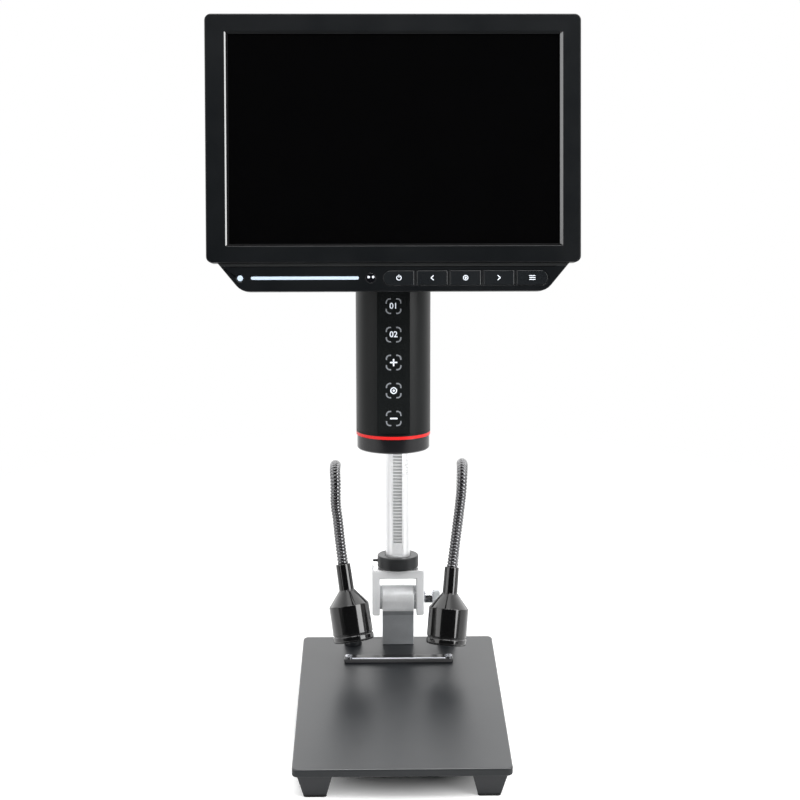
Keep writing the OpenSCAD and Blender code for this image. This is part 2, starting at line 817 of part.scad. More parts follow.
// One tooth at a time, round the pinion from the tooth that points at the rack
function pinion_outline() = let (
    steps = 4,
    radii = [pinion_root, for (i = [0 : steps]) pinion_base + (pinion_tip - pinion_base) * i / steps]
) [
    for (t = [0 : pinion_teeth - 1]) let (mid = 90 - t * 360 / pinion_teeth) each concat(
        [for (r = radii) r * [cos(mid + half_tooth(r)), sin(mid + half_tooth(r))]],
        [for (i = [len(radii) - 1 : -1 : 0]) let (r = radii[i], a = mid - half_tooth(r)) r * [cos(a), sin(a)]]
    )
];

module pinion_shaft() {
    shaft_len = 2 * (knob_x + knob_len - 3);
    color("#d0d2d4") on_column() translate([0, -pinion_y, pinion_s]) union() {
        translate([-pinion_w / 2, 0, 0]) rotate([90, 0, 90]) linear_extrude(pinion_w)
            rotate(-90) polygon(pinion_outline());
        rod_x(shaft_d, shaft_len);
    }
}

module focus_knobs() {
    color("#161718") on_column() translate([0, -pinion_y, pinion_s]) mirror_x()
        translate([knob_x, 0, 0]) rotate([0, 90, 0]) difference() {
            rotate_extrude() polygon([
                [0, 0], [knob_d / 2 - 4, 0], [knob_d / 2 - 4, 5], [knob_d / 2, 5], [knob_d / 2, knob_len - 1],
                [knob_d / 2 - 1, knob_len], [0, knob_len]
            ]);
            translate([0, 0, -1]) cylinder(d = shaft_d, h = knob_len - 2);
        }
}

// ---- Barrel ----

module barrel_shell() {
    color("#1d1f20") on_barrel() difference() {
        translate([0, 0, shell_s]) cylinder(r = barrel_r, h = neck_s - shell_s);
        translate([0, 0, shell_s - 1]) cylinder(r = bore_r, h = neck_s - shell_s + 2);
        block([-panel_w / 2, panel_w / 2], [-barrel_d, -panel_seat], [shell_s - 1, neck_s + 1]);
    }
}

module touch_panel() {
    color("#121314") on_barrel()
        block([-panel_w / 2, panel_w / 2], [-panel_seat - panel_t, -panel_seat], [shell_s, neck_s]);
}

module red_ring() {
    color("#e0302a") on_barrel() translate([0, 0, ring_s]) difference() {
        cylinder(r = barrel_r, h = ring_h);
        translate([0, 0, -1]) cylinder(r = bore_r, h = ring_h + 2);
    }
}

module nose_ring() {
    ledge = barrel_s + nose_lip + lens_t;
    color("#141515") on_barrel() rotate_extrude() polygon([
        [lens_r, barrel_s + 1], [lens_r + 1, barrel_s], [nose_r - 1, barrel_s], [nose_r, barrel_s + 1],
        [nose_r, ring_s], [bore_r, ring_s], [bore_r, ring_s + nose_plug], [lens_r - 2, ring_s + nose_plug],
        [lens_r - 2, ledge], [lens_r, ledge]
    ]);
}

module objective_lens() {
    steps = 6;
    bulge = [for (i = [0 : steps]) let (x = i / steps) [lens_r * x, lens_bulge * x * x]];
    color("#9db4c8", 0.5) on_barrel() translate([0, 0, barrel_s + nose_lip])
        rotate_extrude() polygon(concat(bulge, [[lens_r, lens_t], [0, lens_t]]));
}

module camera_module() {
    color("#1f5a3c") on_barrel() {
        translate([0, 0, sensor_s]) cylinder(r = bore_r, h = board_t);
        translate([0, 0, sensor_s - chip_t]) slab(chip_w, chip_w, chip_t, 1);
        translate([0, 0, sensor_s - chip_t - optic_len]) difference() {
            cylinder(r = optic_r, h = optic_len);
            translate([0, 0, -1]) cylinder(r = optic_r - 2, h = optic_len - 2);
        }
    }
}

module barrel_neck() {
    color("#2a2b2c") on_barrel() rotate_extrude() polygon([
        [cable_r, neck_s - neck_plug], [bore_r, neck_s - neck_plug], [bore_r, neck_s], [neck_d / 2, neck_s],
        [neck_d / 2, yoke_s], [cable_r, yoke_s]
    ]);
}

module tilt_yoke() {
    color("#1f2021") on_barrel() difference() {
        union() {
            translate([0, 0, yoke_s]) cylinder(r = barrel_r - 1, h = yoke_t);
            mirror_x() {
                block([ear_x, ear_x + ear_w], [-lug_r, lug_r], [yoke_s, hinge_s]);
                translate([ear_x + ear_w / 2, 0, hinge_s]) rod_x(2 * lug_r, ear_w);
            }
        }
        translate([0, 0, yoke_s - 1]) cylinder(r = cable_r, h = yoke_t + 2);
        translate([0, 0, hinge_s]) rod_x(hinge_d, 2 * (ear_x + ear_w) + 2);
    }
}

module hinge_pin() {
    color("#c4c7ca") on_barrel() translate([0, 0, hinge_s]) {
        rod_x(hinge_d, 2 * (ear_x + ear_w));
        mirror_x() translate([ear_x + ear_w + 1, 0, 0]) rod_x(hinge_d + 3, 2);
    }
}

// ---- Display ----

// Turns a flat shape drawn in x and z into a solid that runs from y0 to y1
module face_extrude(y0, y1) {
    translate([0, y1, 0]) rotate([90, 0, 0]) linear_extrude(y1 - y0) children();
}

module frame_outline(inset) {
    w = display_w - 2 * inset;
    h = display_h - 2 * inset;
    r = max(0.5, display_r - inset);
    union() {
        square([w - 2 * r, h], center = true);
        square([w, h - 2 * r], center = true);
        for (x = [-1, 1], z = [-1, 1]) translate([x * (w / 2 - r), z * (h / 2 - r)]) circle(r);
    }
}

// Right half of the button bar: a slanted end that runs into a round lower corner
function chin_points(inset, top) = let (
    arc_z = chin_low + chin_r,
    r = chin_r - inset,
    steps = 4,
    start = r * [cos(chin_slant), -sin(chin_slant)]
) [
    [chin_flat + start[0] + (r * sin(chin_slant) + top - arc_z) * tan(chin_slant), top],
    for (i = [0 : steps]) let (a = -chin_slant - (90 - chin_slant) * i / steps)
        [chin_flat + r * cos(a), arc_z + r * sin(a)],
    [0, chin_low + inset]
];

module chin_outline(inset, top) {
    half = chin_points(inset, top);
    count = len(half);
    polygon(concat(half, [for (i = [count - 2 : -1 : 0]) [-half[i][0], half[i][1]]]));
}

module display_bezel() {
    color("#1d2023") on_display() difference() {
        union() {
            difference() {
                face_extrude(0, frame_d) frame_outline(0);
                face_extrude(lip_t, frame_d + 1) frame_outline(shell_t);
            }
            translate([0, lip_t, 0]) corners(post_x, post_z) rod_y(cover_head_d, frame_d - lip_t);
        }
        translate([screen_x, 0, screen_z]) cube([screen_w, 20, screen_h], center = true);
        translate([screen_x, 0, screen_z]) rotate([-90, 0, 0])
            taper_block(screen_w + 2 * bevel_w, screen_h + 2 * bevel_h, screen_w, screen_h, bevel_d);
        translate([0, screw_tip, 0]) corners(post_x, post_z) rod_y(cover_screw_d, frame_d);
    }
}

module lcd_panel() {
    color("#070808") on_display() translate([0, lip_t + lcd_t, screen_z]) rotate([90, 0, 0])
        slab(lcd_w, lcd_h, lcd_t, 1);
}

// Pillars that carry the main board inside the raised part of the housing
module standoffs() {
    translate([0, main_board_y + board_t, hump_z]) corners(main_board[0] / 2 - 5, main_board[1] / 2 - 5)
        rod_y(5, hump_back);
}

// Raised part of the housing from depth y to its back, moved in by inset on every side
module hump(inset, y) {
    w = hump_w - 2 * inset;
    h = hump_h - 2 * inset;
    translate([0, y, hump_z]) rotate([-90, 0, 0])
        taper_block(w, h, w - 2 * hump_slope, h - 2 * hump_slope, hump_back - inset - y);
}

module rear_cover() {
    color("#1b1c1e") on_display() difference() {
        union() {
            face_extrude(frame_d, cover_back) frame_outline(0);
            face_extrude(chin_d, cover_back) chin_outline(0, chin_top + 2);
            hump(0, cover_back);
        }
        difference() {
            union() {
                face_extrude(frame_d - 1, cover_back - shell_t) frame_outline(shell_t);
                face_extrude(chin_d - 1, cover_back - shell_t) chin_outline(shell_t, chin_top - shell_t);
                hump(shell_t, cover_back - shell_t - 0.5);
            }
            corners(post_x, post_z) rod_y(cover_head_d, cover_back);
            standoffs();
        }
        corners(post_x, post_z) {
            rod_y(cover_screw_d, cover_back + 1);
            translate([0, cover_back - cover_head_h, 0]) rod_y(cover_head_d, 5);
        }
        bracket_screw_places() translate([0, -10, 0]) rod_y(cover_screw_d, 20);
        for (i = [0 : vent_count - 1])
            translate([(i - (vent_count - 1) / 2) * vent_pitch, hump_back, vent_z])
                cube([vent_w, 4 * shell_t, vent_h], center = true);
        for (i = [0 : 2]) translate([display_w / 2, port_y, port_z[i]])
            cube([2 * port_in, port_t[i], port_w[i]], center = true);
    }
}

module bracket_screw_places() {
    translate([0, cover_back, (bracket_z[0] + bracket_z[1]) / 2])
        corners(bracket_screw_x, (bracket_z[1] - bracket_z[0]) / 2 - 5) children();
}

module chin_cover() {
    wall = 1.6;
    color("#17191b") on_display() difference() {
        face_extrude(chin_set, chin_d) chin_outline(0, chin_top);
        difference() {
            face_extrude(chin_set + shell_t, chin_d + 1) chin_outline(wall, chin_top - wall);
            block([-rib_x, rib_x], [chin_set, button_board_y], [chin_top - wall - 1.4, chin_top]);
        }
        for (i = [0 : 4]) face_extrude(chin_set - 1, chin_set + shell_t + 1) button_outline(i, button_gap);
        block(bar_x, [0, 20], [light_z - bar_h / 2, light_z + bar_h / 2]);
        translate([dot_x, 0, light_z]) rod_y(dot_d, 20);
        translate([ir_x, 0, light_z]) rod_y(ir_d, 20);
    }
}

// Front of button i, grown by g on all sides. The first and last buttons have a round outer end.
module button_outline(i, g) {
    w = button_w + 2 * g;
    h = button_h + 2 * g;
    end = i == 0 ? -1 : 1;
    translate([button_x + i * button_pitch + button_w / 2, button_z])
        if (i == 0 || i == 4) union() {
            translate([-end * h / 4, 0]) square([w - h / 2, h], center = true);
            translate([end * (w - h) / 2, 0]) circle(h / 2);
        }
        else square([w, h], center = true);
}

module button(i) {
    x0 = button_x + i * button_pitch;
    back = chin_set + shell_t;
    color("#1c1e20") on_display() union() {
        face_extrude(chin_set - button_proud, back + 0.2) button_outline(i, 0);
        face_extrude(back + 0.2, back + 1.4) button_outline(i, flange_out);
        translate([x0 + button_w / 2, back + 1.4, button_z])
            rod_y(4, button_board_y - back - 1.6 - button_travel);
    }
}

module light_guides() {
    color("#e8f2ff") on_display() {
        block(bar_x, [chin_set, button_board_y], [light_z - bar_h / 2, light_z + bar_h / 2]);
        translate([dot_x, chin_set, light_z]) rod_y(dot_d, button_board_y - chin_set);
    }
}

module ir_window() {
    color("#0a0a0b") on_display() translate([ir_x, chin_set, light_z]) rod_y(ir_d, 3);
}

module display_boards() {
    color("#1f5a3c") on_display() {
        block([-main_board[0] / 2, main_board[0] / 2], [main_board_y, main_board_y + board_t],
            [hump_z - main_board[1] / 2, hump_z + main_board[1] / 2]);
        block(button_board_x, [button_board_y, button_board_y + board_t], button_board_z);
    }
}

module tilt_bracket() {
    lug_z = -hinge_below;
    color("#2a2c2e") on_display() difference() {
        union() {
            block([-bracket_w / 2, bracket_w / 2], [cover_back, cover_back + bracket_t], bracket_z);
            block([-lug_w / 2, lug_w / 2], [cover_back, hinge_back], [lug_z - 5, lug_z + 5]);
            translate([0, hinge_back, lug_z]) rod_x(2 * lug_r, lug_w);
        }
        translate([0, hinge_back, lug_z]) rod_x(hinge_d + 2 * run_fit, lug_w + 2);
        bracket_screw_places() translate([0, -1, 0]) rod_y(cover_screw_d, bracket_t + 2);
    }
}

module display_ports() {
    color("#aeb2b6") on_display() for (i = [0 : 2])
        translate([display_w / 2 - port_in, port_y, port_z[i]]) difference() {
            translate([port_in / 2, 0, 0]) cube([port_in, port_t[i], port_w[i]], center = true);
            translate([port_in, 0, 0]) cube([port_in, port_t[i] - 0.8, port_w[i] - 0.8], center = true);
        }
}

module cover_screws() {
    color("#3a3c3e") on_display() {
        corners(post_x, post_z) {
            translate([0, screw_tip, 0]) rod_y(cover_screw_d, cover_back - cover_head_h - screw_tip);
            translate([0, cover_back - cover_head_h, 0]) rod_y(cover_head_d, cover_head_h);
        }
        bracket_screw_places() {
            translate([0, -4, 0]) rod_y(cover_screw_d, 4 + bracket_t);
            translate([0, bracket_t, 0]) rod_y(cover_head_d, cover_head_h);
        }
    }
}

module button_power() { button(0); }
module button_left() { button(1); }
module button_select() { button(2); }
module button_right() { button(3); }
module button_menu() { button(4); }

// ---- Gooseneck lamps ----

function unit(v) = v / norm(v);

// Point on a smooth curve through p1 and p2, with p0 and p3 as their neighbours
function curve_point(p0, p1, p2, p3, t) = 0.5 * (
    2 * p1 + (p2 - p0) * t + (2 * p0 - 5 * p1 + 4 * p2 - p3) * t * t + (3 * p1 - p0 - 3 * p2 + p3) * t * t * t
);

function smooth_route(route) = let (
    n = len(route),
    before = 2 * route[0] - route[1],
    after = 2 * route[n - 1] - route[n - 2]
) [
    for (i = [0 : n - 2], k = [0 : tube_steps - 1])
        curve_point(i == 0 ? before : route[i - 1], route[i], route[i + 1],
            i == n - 2 ? after : route[i + 2], k / tube_steps),
    route[n - 1]
];

// Round tube along a route, as rings of points across it
module tube(route, r) {
    path = smooth_route(route);
    n = len(path);
    points = [
        for (i = [0 : n - 1]) let (
            along = unit(path[min(i + 1, n - 1)] - path[max(i - 1, 0)]),
            side = unit(cross(along, [1, 0, 0])),
            up = cross(side, along)
        ) for (k = [0 : tube_sides - 1]) let (a = k * 360 / tube_sides)
            path[i] + r * (cos(a) * side + sin(a) * up)
    ];
    walls = [
        for (i = [0 : n - 2], k = [0 : tube_sides - 1]) let (a = i * tube_sides, j = (k + 1) % tube_sides)
        each [
            [a + k, a + j, a + tube_sides + j], [a + k, a + tube_sides + j, a + tube_sides + k]
        ]
    ];
    first = [for (k = [tube_sides - 1 : -1 : 0]) k];
    last = [for (k = [0 : tube_sides - 1]) (n - 1) * tube_sides + k];
    polyhedron(points, concat(walls, [first, last]));
}

module riser(route) {
    color("#202122") translate([0, pivot_y, plate_top]) union() {
        tube(route, tube_r - 0.05);
        translate(route[0]) sphere(r = tube_r);
        translate(route[len(route) - 1]) sphere(r = tube_r);
    }
}

module drop(route) {
    color("#202122") translate([0, pivot_y, plate_top]) union() {
        difference() {
            tube(route, tube_r - 0.05);
            translate(route[0]) sphere(r = cup_r);
        }
        translate(route[len(route) - 1]) sphere(r = tube_r);
    }
}

// Origin where the gooseneck meets the lamp's neck, with the lamp hanging down -z
module on_lamp(route, roll) {
    translate(route[len(route) - 1] + [0, pivot_y, plate_top]) rotate([0, roll, 0])
        rotate([-lamp_lean, 0, 0]) children();
}

module lamp_body(route, roll) {
    cone_z = -lamp_neck_h;
    body_z = cone_z - cone_h;
    low = body_z - lamp_h;
    color("#111213") on_lamp(route, roll) difference() {
        rotate_extrude() polygon([
            [0, 0], [lamp_neck_d / 2 - 0.3, 0], [lamp_neck_d / 2, cone_z], [shoulder_d / 2, cone_z],
            [lamp_d / 2, body_z], [lamp_d / 2, low], [lamp_d / 2 - lamp_wall, low],
            [lamp_d / 2 - lamp_wall, body_z - 6], [0, body_z - 6]
        ]);
        sphere(r = cup_r);
        translate([0, 0, body_z - 7]) cylinder(r = wire_r, h = lamp_neck_h + cone_h + 7);
    }
}

module lens_ring(route, roll) {
    low = -lamp_neck_h - cone_h - lamp_h;
    color("#1a1b1c") on_lamp(route, roll) translate([0, 0, low - lens_ring_h]) difference() {
        cylinder(d = lamp_d + 0.4, h = lens_ring_h);
        translate([0, 0, -1]) cylinder(d = lamp_d - 2 * lamp_wall, h = lens_ring_h + 2);
    }
}

module lamp_lens(route, roll) {
    low = -lamp_neck_h - cone_h - lamp_h - lens_ring_h;
    color("#e8eef2", 0.5) on_lamp(route, roll) translate([0, 0, low - lamp_lens_t])
        cylinder(d = lamp_d, h = lamp_lens_t);
}

module led(route, roll) {
    body_z = -lamp_neck_h - cone_h;
    color("#f2efe0") on_lamp(route, roll) translate([0, 0, body_z - 6 - led_t]) {
        cylinder(d = lamp_d - 2 * lamp_wall, h = led_t);
        intersection() {
            sphere(r = led_dome_r);
            translate([0, 0, -led_dome_r]) cylinder(r = led_dome_r, h = led_dome_r + 0.5);
        }
    }
}

module left_riser() { riser(left_rise_route); }
module left_drop() { drop(left_drop_route); }
module left_lamp_body() { lamp_body(left_drop_route, -left_roll); }
module left_lens_ring() { lens_ring(left_drop_route, -left_roll); }
module left_lamp_lens() { lamp_lens(left_drop_route, -left_roll); }
module left_led() { led(left_drop_route, -left_roll); }
module right_riser() { riser(right_rise_route); }
module right_drop() { drop(right_drop_route); }
module right_lamp_body() { lamp_body(right_drop_route, right_roll); }
module right_lens_ring() { lens_ring(right_drop_route, right_roll); }
module right_lamp_lens() { lamp_lens(right_drop_route, right_roll); }
module right_led() { led(right_drop_route, right_roll); }

base_plate();
base_feet();
foot_pads();
base_screws();
tilt_post();
stop_bar();
lamp_sockets();
lamp_junction_box();
column_fork();
fork_washers();
pivot_bolt();
column_rod();
column_rack();
column_screw();
column_cap();
stop_collar();
collar_screw();
clamp_lever();
carriage_body();
carriage_bushes();
head_arm();
carriage_screws();
pinion_shaft();
focus_knobs();
barrel_shell();
touch_panel();
red_ring();
nose_ring();
objective_lens();
camera_module();
barrel_neck();
tilt_yoke();
hinge_pin();
display_bezel();
lcd_panel();
rear_cover();
chin_cover();
light_guides();
ir_window();
display_boards();
tilt_bracket();
display_ports();
cover_screws();
button_power();
button_left();
button_select();
button_right();
button_menu();
left_riser();
left_drop();
left_lamp_body();
left_lens_ring();
left_lamp_lens();
left_led();
right_riser();
right_drop();
right_lamp_body();
right_lens_ring();
right_lamp_lens();
right_led();
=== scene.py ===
import json, math
import bpy, bmesh
from mathutils import Matrix, Vector
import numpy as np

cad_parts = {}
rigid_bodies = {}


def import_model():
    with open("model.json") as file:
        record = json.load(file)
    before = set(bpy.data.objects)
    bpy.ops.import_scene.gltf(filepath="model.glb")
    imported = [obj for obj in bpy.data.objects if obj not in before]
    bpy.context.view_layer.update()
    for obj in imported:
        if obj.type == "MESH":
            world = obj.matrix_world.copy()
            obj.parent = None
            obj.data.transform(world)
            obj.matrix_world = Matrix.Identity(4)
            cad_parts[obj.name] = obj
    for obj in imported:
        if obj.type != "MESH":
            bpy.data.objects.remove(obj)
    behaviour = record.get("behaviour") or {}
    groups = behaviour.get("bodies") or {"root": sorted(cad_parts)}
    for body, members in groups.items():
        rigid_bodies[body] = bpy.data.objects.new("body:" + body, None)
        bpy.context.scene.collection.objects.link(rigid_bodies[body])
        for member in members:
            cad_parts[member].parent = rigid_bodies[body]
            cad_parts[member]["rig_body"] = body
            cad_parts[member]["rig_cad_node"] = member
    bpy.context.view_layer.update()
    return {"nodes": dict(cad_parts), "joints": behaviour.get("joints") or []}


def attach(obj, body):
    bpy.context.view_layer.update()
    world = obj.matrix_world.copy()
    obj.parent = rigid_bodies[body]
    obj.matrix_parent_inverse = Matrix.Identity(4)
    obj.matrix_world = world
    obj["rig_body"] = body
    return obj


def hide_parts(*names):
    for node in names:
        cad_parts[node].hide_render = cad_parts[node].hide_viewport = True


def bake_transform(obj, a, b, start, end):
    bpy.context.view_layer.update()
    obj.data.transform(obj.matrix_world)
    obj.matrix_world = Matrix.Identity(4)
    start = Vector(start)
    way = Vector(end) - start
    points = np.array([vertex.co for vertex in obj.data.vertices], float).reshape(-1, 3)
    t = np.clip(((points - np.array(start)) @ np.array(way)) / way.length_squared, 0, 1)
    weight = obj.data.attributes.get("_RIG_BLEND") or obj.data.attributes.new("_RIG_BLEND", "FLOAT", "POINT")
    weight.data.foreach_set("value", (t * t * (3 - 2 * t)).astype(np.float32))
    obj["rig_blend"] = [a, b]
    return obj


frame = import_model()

mm = 0.001


# Camera: stands over a metre in front of the microscope, a little above the top of the screen, and
# looks down at it by 17.5 degrees. A long lens keeps the display and the stage plate in proportion.
eye = bpy.data.cameras.new("studio_camera")
eye.lens = 70.137
eye.sensor_width = 36.0
eye.clip_start = 0.05
eye.clip_end = 50.0
camera = bpy.data.objects.new("studio_camera", eye)
bpy.context.scene.collection.objects.link(camera)
stand = (-0.01863, -1.02941, 0.57996)
swing, dip, roll = -1.021, 17.513, 0.075
camera.matrix_world = (Matrix.Translation(stand)
                       @ Matrix.Rotation(math.radians(swing), 4, "Z")
                       @ Matrix.Rotation(math.radians(90 - dip), 4, "X")
                       @ Matrix.Rotation(math.radians(roll), 4, "Z"))
bpy.context.scene.camera = camera
bpy.context.scene.view_settings.view_transform = "Standard"


# Studio room: a white cove lights the microscope evenly, and the cove's front is dark. Polished
# parts see that cove, so they turn white at the sides and stay black in front.
world = bpy.data.worlds.new("white_cove")
bpy.context.scene.world = world
world.use_nodes = True
room = world.node_tree
nodes, links = room.nodes, room.links
nodes.clear()


def math_node(tree, kind, *values):
    """Adds a math node fed by sockets or numbers and gives its output."""
    node = tree.nodes.new("ShaderNodeMath")
    node.operation = kind
    for place, value in enumerate(values):
        if isinstance(value, (int, float)):
            node.inputs[place].default_value = value
        else:
            tree.links.new(value, node.inputs[place])
    return node.outputs[0]


def eased(tree, value, low, high, start, end):
    """Runs from start at low to end at high, smoothly, and holds outside."""
    node = tree.nodes.new("ShaderNodeMapRange")
    node.interpolation_type = "SMOOTHSTEP"
    tree.links.new(value, node.inputs["Value"])
    for name, number in zip(("From Min", "From Max", "To Min", "To Max"), (low, high, start, end)):
        node.inputs[name].default_value = number
    return node.outputs["Result"]


def bearing(tree, point):
    """How far round from the front a point lies, in radians, and its three coordinates."""
    parts = tree.nodes.new("ShaderNodeSeparateXYZ")
    tree.links.new(point, parts.inputs[0])
    away = math_node(tree, "MULTIPLY", parts.outputs["Y"], -1.0)
    round_by = math_node(tree, "ARCTAN2", parts.outputs["X"], away)
    return math_node(tree, "ABSOLUTE", round_by), parts


def mirror_ray(tree):
    """The light path, and 1 on the rays that gloss and glass send out."""
    rays = tree.nodes.new("ShaderNodeLightPath")
    return rays, math_node(tree, "MAXIMUM", rays.outputs["Is Glossy Ray"],
                           rays.outputs["Is Transmission Ray"])


plain_level, backdrop_level = 0.5, 1.0
compass = nodes.new("ShaderNodeTexCoord")
side, parts = bearing(room, compass.outputs["Generated"])
side_walls = eased(room, side, low=math.radians(30), high=math.radians(96), start=0.02, end=0.5)
rear_wall = eased(room, side, low=math.radians(94), high=math.radians(128), start=0.0, end=1.55)
walls = math_node(room, "ADD", side_walls, rear_wall)
roof = eased(room, parts.outputs["Z"], low=0.68, high=0.88, start=0.0, end=0.3)
mirror_level = math_node(room, "MAXIMUM", walls, roof)
rays, sharp = mirror_ray(room)
seen = nodes.new("ShaderNodeMix")
links.new(sharp, seen.inputs["Factor"])
seen.inputs["A"].default_value = plain_level
links.new(mirror_level, seen.inputs["B"])
level = nodes.new("ShaderNodeMix")
links.new(rays.outputs["Is Camera Ray"], level.inputs["Factor"])
links.new(seen.outputs[0], level.inputs["A"])
level.inputs["B"].default_value = backdrop_level
glow = nodes.new("ShaderNodeBackground")
glow.inputs["Color"].default_value = (1, 1, 1, 1)
links.new(level.outputs[0], glow.inputs["Strength"])
links.new(glow.outputs[0], nodes.new("ShaderNodeOutputWorld").inputs["Surface"])

aim = Vector((0.0, 0.03, 0.26))
for name, azimuth, elevation, distance, width, height, glare in (
        ("right_softbox", 58, 24, 1.7, 0.95, 1.6, 6.4),
        ("left_softbox", -66, 24, 1.7, 1.3, 1.5, 2.0),
        ("overhead_softbox", 6, 74, 1.6, 1.2, 0.8, 9.0)):
    lamp = bpy.data.lights.new(name, "AREA")
    lamp.shape = "RECTANGLE"
    lamp.size, lamp.size_y = width, height
    lamp.energy = glare * math.pi * width * height
    light = bpy.data.objects.new(name, lamp)
    bpy.context.scene.collection.objects.link(light)
    turn, rise = math.radians(azimuth), math.radians(elevation)
    toward = Vector((math.sin(turn) * math.cos(rise), -math.cos(turn) * math.cos(rise),
                     math.sin(rise)))
    light.matrix_world = (Matrix.Translation(aim + toward * distance)
                          @ toward.to_track_quat("Z", "Y").to_matrix().to_4x4())


# Bench top: the white sheet that the microscope stands on. It is plain paper near the feet, where
# it keeps their shadow, darkened further by a painted shadow in the plate's outline, and it fades
# into the white of the cove further out.
bench_radius = 3.0
bpy.ops.mesh.primitive_circle_add(vertices=96, radius=bench_radius, fill_type="NGON",
                                  location=(0, 0, 0))
bench = bpy.context.object
bench.name = "bench_sheet"
paper = bpy.data.materials.new("bench_paper")
paper.use_nodes = True
sheet = paper.node_tree
shader = sheet.nodes["Principled BSDF"]
shader.inputs["Base Color"].default_value = (0.86, 0.86, 0.86, 1)
shader.inputs["Roughness"].default_value = 0.9
shader.inputs["Specular IOR Level"].default_value = 0.1
place = sheet.nodes.new("ShaderNodeTexCoord")


def length_of(vector):
    """How long a vector of the sheet's is."""
    node = sheet.nodes.new("ShaderNodeVectorMath")
    node.operation = "LENGTH"
    sheet.links.new(vector, node.inputs[0])
    return node.outputs["Value"]


reach = length_of(place.outputs["Object"])
rays, sharp = mirror_ray(sheet)
lift = sheet.nodes.new("ShaderNodeEmission")
lift.inputs["Color"].default_value = (1, 1, 1, 1)
plate_shape = sheet.nodes.new("ShaderNodeVectorMath")
plate_shape.operation = "MULTIPLY"
plate_shape.inputs[1].default_value = (1.4, 1, 1)
sheet.links.new(place.outputs["Object"], plate_shape.inputs[0])
# Inside the plate's outline the lift falls below zero: a painted shadow that darkens the paper there.
under = eased(sheet, length_of(plate_shape.outputs[0]), low=0.07, high=0.135, start=-0.05, end=0.36)
lift_level = math_node(sheet, "MULTIPLY", rays.outputs["Is Camera Ray"], under)
sheet.links.new(lift_level, lift.inputs["Strength"])
both = sheet.nodes.new("ShaderNodeAddShader")
sheet.links.new(shader.outputs[0], both.inputs[0])
sheet.links.new(lift.outputs[0], both.inputs[1])
far = sheet.nodes.new("ShaderNodeEmission")
shown = sheet.nodes.new("ShaderNodeMix")
sheet.links.new(rays.outputs["Is Camera Ray"], shown.inputs["Factor"])
side = bearing(sheet, place.outputs["Object"])[0]
far_level = eased(sheet, side, low=math.radians(16), high=math.radians(70), start=0.22, end=1.0)
sheet.links.new(far_level, shown.inputs["A"])
shown.inputs["B"].default_value = backdrop_level
sheet.links.new(shown.outputs[0], far.inputs["Strength"])
fade = sheet.nodes.new("ShaderNodeMixShader")
outer = math_node(sheet, "MULTIPLY", rays.outputs["Is Camera Ray"],
                  eased(sheet, reach, low=0.2, high=0.7, start=0.0, end=1.0))
inner = math_node(sheet, "MULTIPLY", sharp,
                  eased(sheet, reach, low=0.12, high=0.4, start=0.0, end=1.0))
sheet.links.new(math_node(sheet, "ADD", outer, inner), fade.inputs[0])
sheet.links.new(both.outputs[0], fade.inputs[1])
sheet.links.new(far.outputs[0], fade.inputs[2])
sheet.links.new(fade.outputs[0], sheet.nodes["Material Output"].inputs["Surface"])
bench.data.materials.append(paper)


# Stage plate: a thick steel plate with rounded corners and edges, powder coated in satin dark grey.
# The feet and the tilt post are screwed to it from below.
def finish_of(name, colour, rough, metal=0.0, tone=0.1, patch=0.03, grain=0.0006, bump=0.08,
              stretch=(1, 1, 1), turn=0.0, sheen=0.5, coat=0.0):
    """A finish whose tone and gloss drift over patches, with a fine grain; both in metres."""
    drift_share, speck_share = 0.6, 0.4
    darkest, lightest = 0.3, 0.7
    grain_depth = 0.4
    material = bpy.data.materials.new(name)
    material.use_nodes = True
    tree = material.node_tree
    shader = tree.nodes["Principled BSDF"]
    shader.inputs["Metallic"].default_value = metal
    shader.inputs["Specular IOR Level"].default_value = sheen
    shader.inputs["Coat Weight"].default_value = coat
    shader.inputs["Coat Roughness"].default_value = 0.06
    place = tree.nodes.new("ShaderNodeTexCoord")
    lay = tree.nodes.new("ShaderNodeMapping")
    lay.inputs["Rotation"].default_value = (math.radians(turn), 0, 0)
    lay.inputs["Scale"].default_value = stretch
    tree.links.new(place.outputs["Object"], lay.inputs["Vector"])
    drift = tree.nodes.new("ShaderNodeTexNoise")
    drift.inputs["Scale"].default_value = 1 / patch
    drift.inputs["Detail"].default_value = 5
    tree.links.new(place.outputs["Object"], drift.inputs["Vector"])
    speck = tree.nodes.new("ShaderNodeTexNoise")
    speck.inputs["Scale"].default_value = 1 / grain
    speck.inputs["Detail"].default_value = 3
    tree.links.new(lay.outputs["Vector"], speck.inputs["Vector"])
    blend = math_node(tree, "ADD",
                      math_node(tree, "MULTIPLY", drift.outputs["Fac"], drift_share),
                      math_node(tree, "MULTIPLY", speck.outputs["Fac"], speck_share))
    ramp = tree.nodes.new("ShaderNodeValToRGB")
    dark, light = ramp.color_ramp.elements
    dark.position, light.position = darkest, lightest
    dark.color = (*[c * (1 - tone) for c in colour], 1)
    light.color = (*[min(1.0, c * (1 + tone)) for c in colour], 1)
    tree.links.new(blend, ramp.inputs["Fac"])
    tree.links.new(ramp.outputs["Color"], shader.inputs["Base Color"])
    tree.links.new(eased(tree, blend, darkest, lightest, *rough), shader.inputs["Roughness"])
    raised = tree.nodes.new("ShaderNodeBump")
    raised.inputs["Strength"].default_value = bump
    raised.inputs["Distance"].default_value = grain * grain_depth
    tree.links.new(speck.outputs["Fac"], raised.inputs["Height"])
    tree.links.new(raised.outputs["Normal"], shader.inputs["Normal"])
    return material


def hold(piece):
    """Selects one object and nothing else."""
    bpy.ops.object.select_all(action="DESELECT")
    piece.select_set(True)
    bpy.context.view_layer.objects.active = piece


def open_up():
    """Opens the piece in hand for editing, with all of it selected."""
    bpy.ops.object.mode_set(mode="EDIT")
    bpy.ops.mesh.select_all(action="SELECT")


def close_up():
    """Ends the editing of the piece in hand."""
    bpy.ops.object.mode_set(mode="OBJECT")


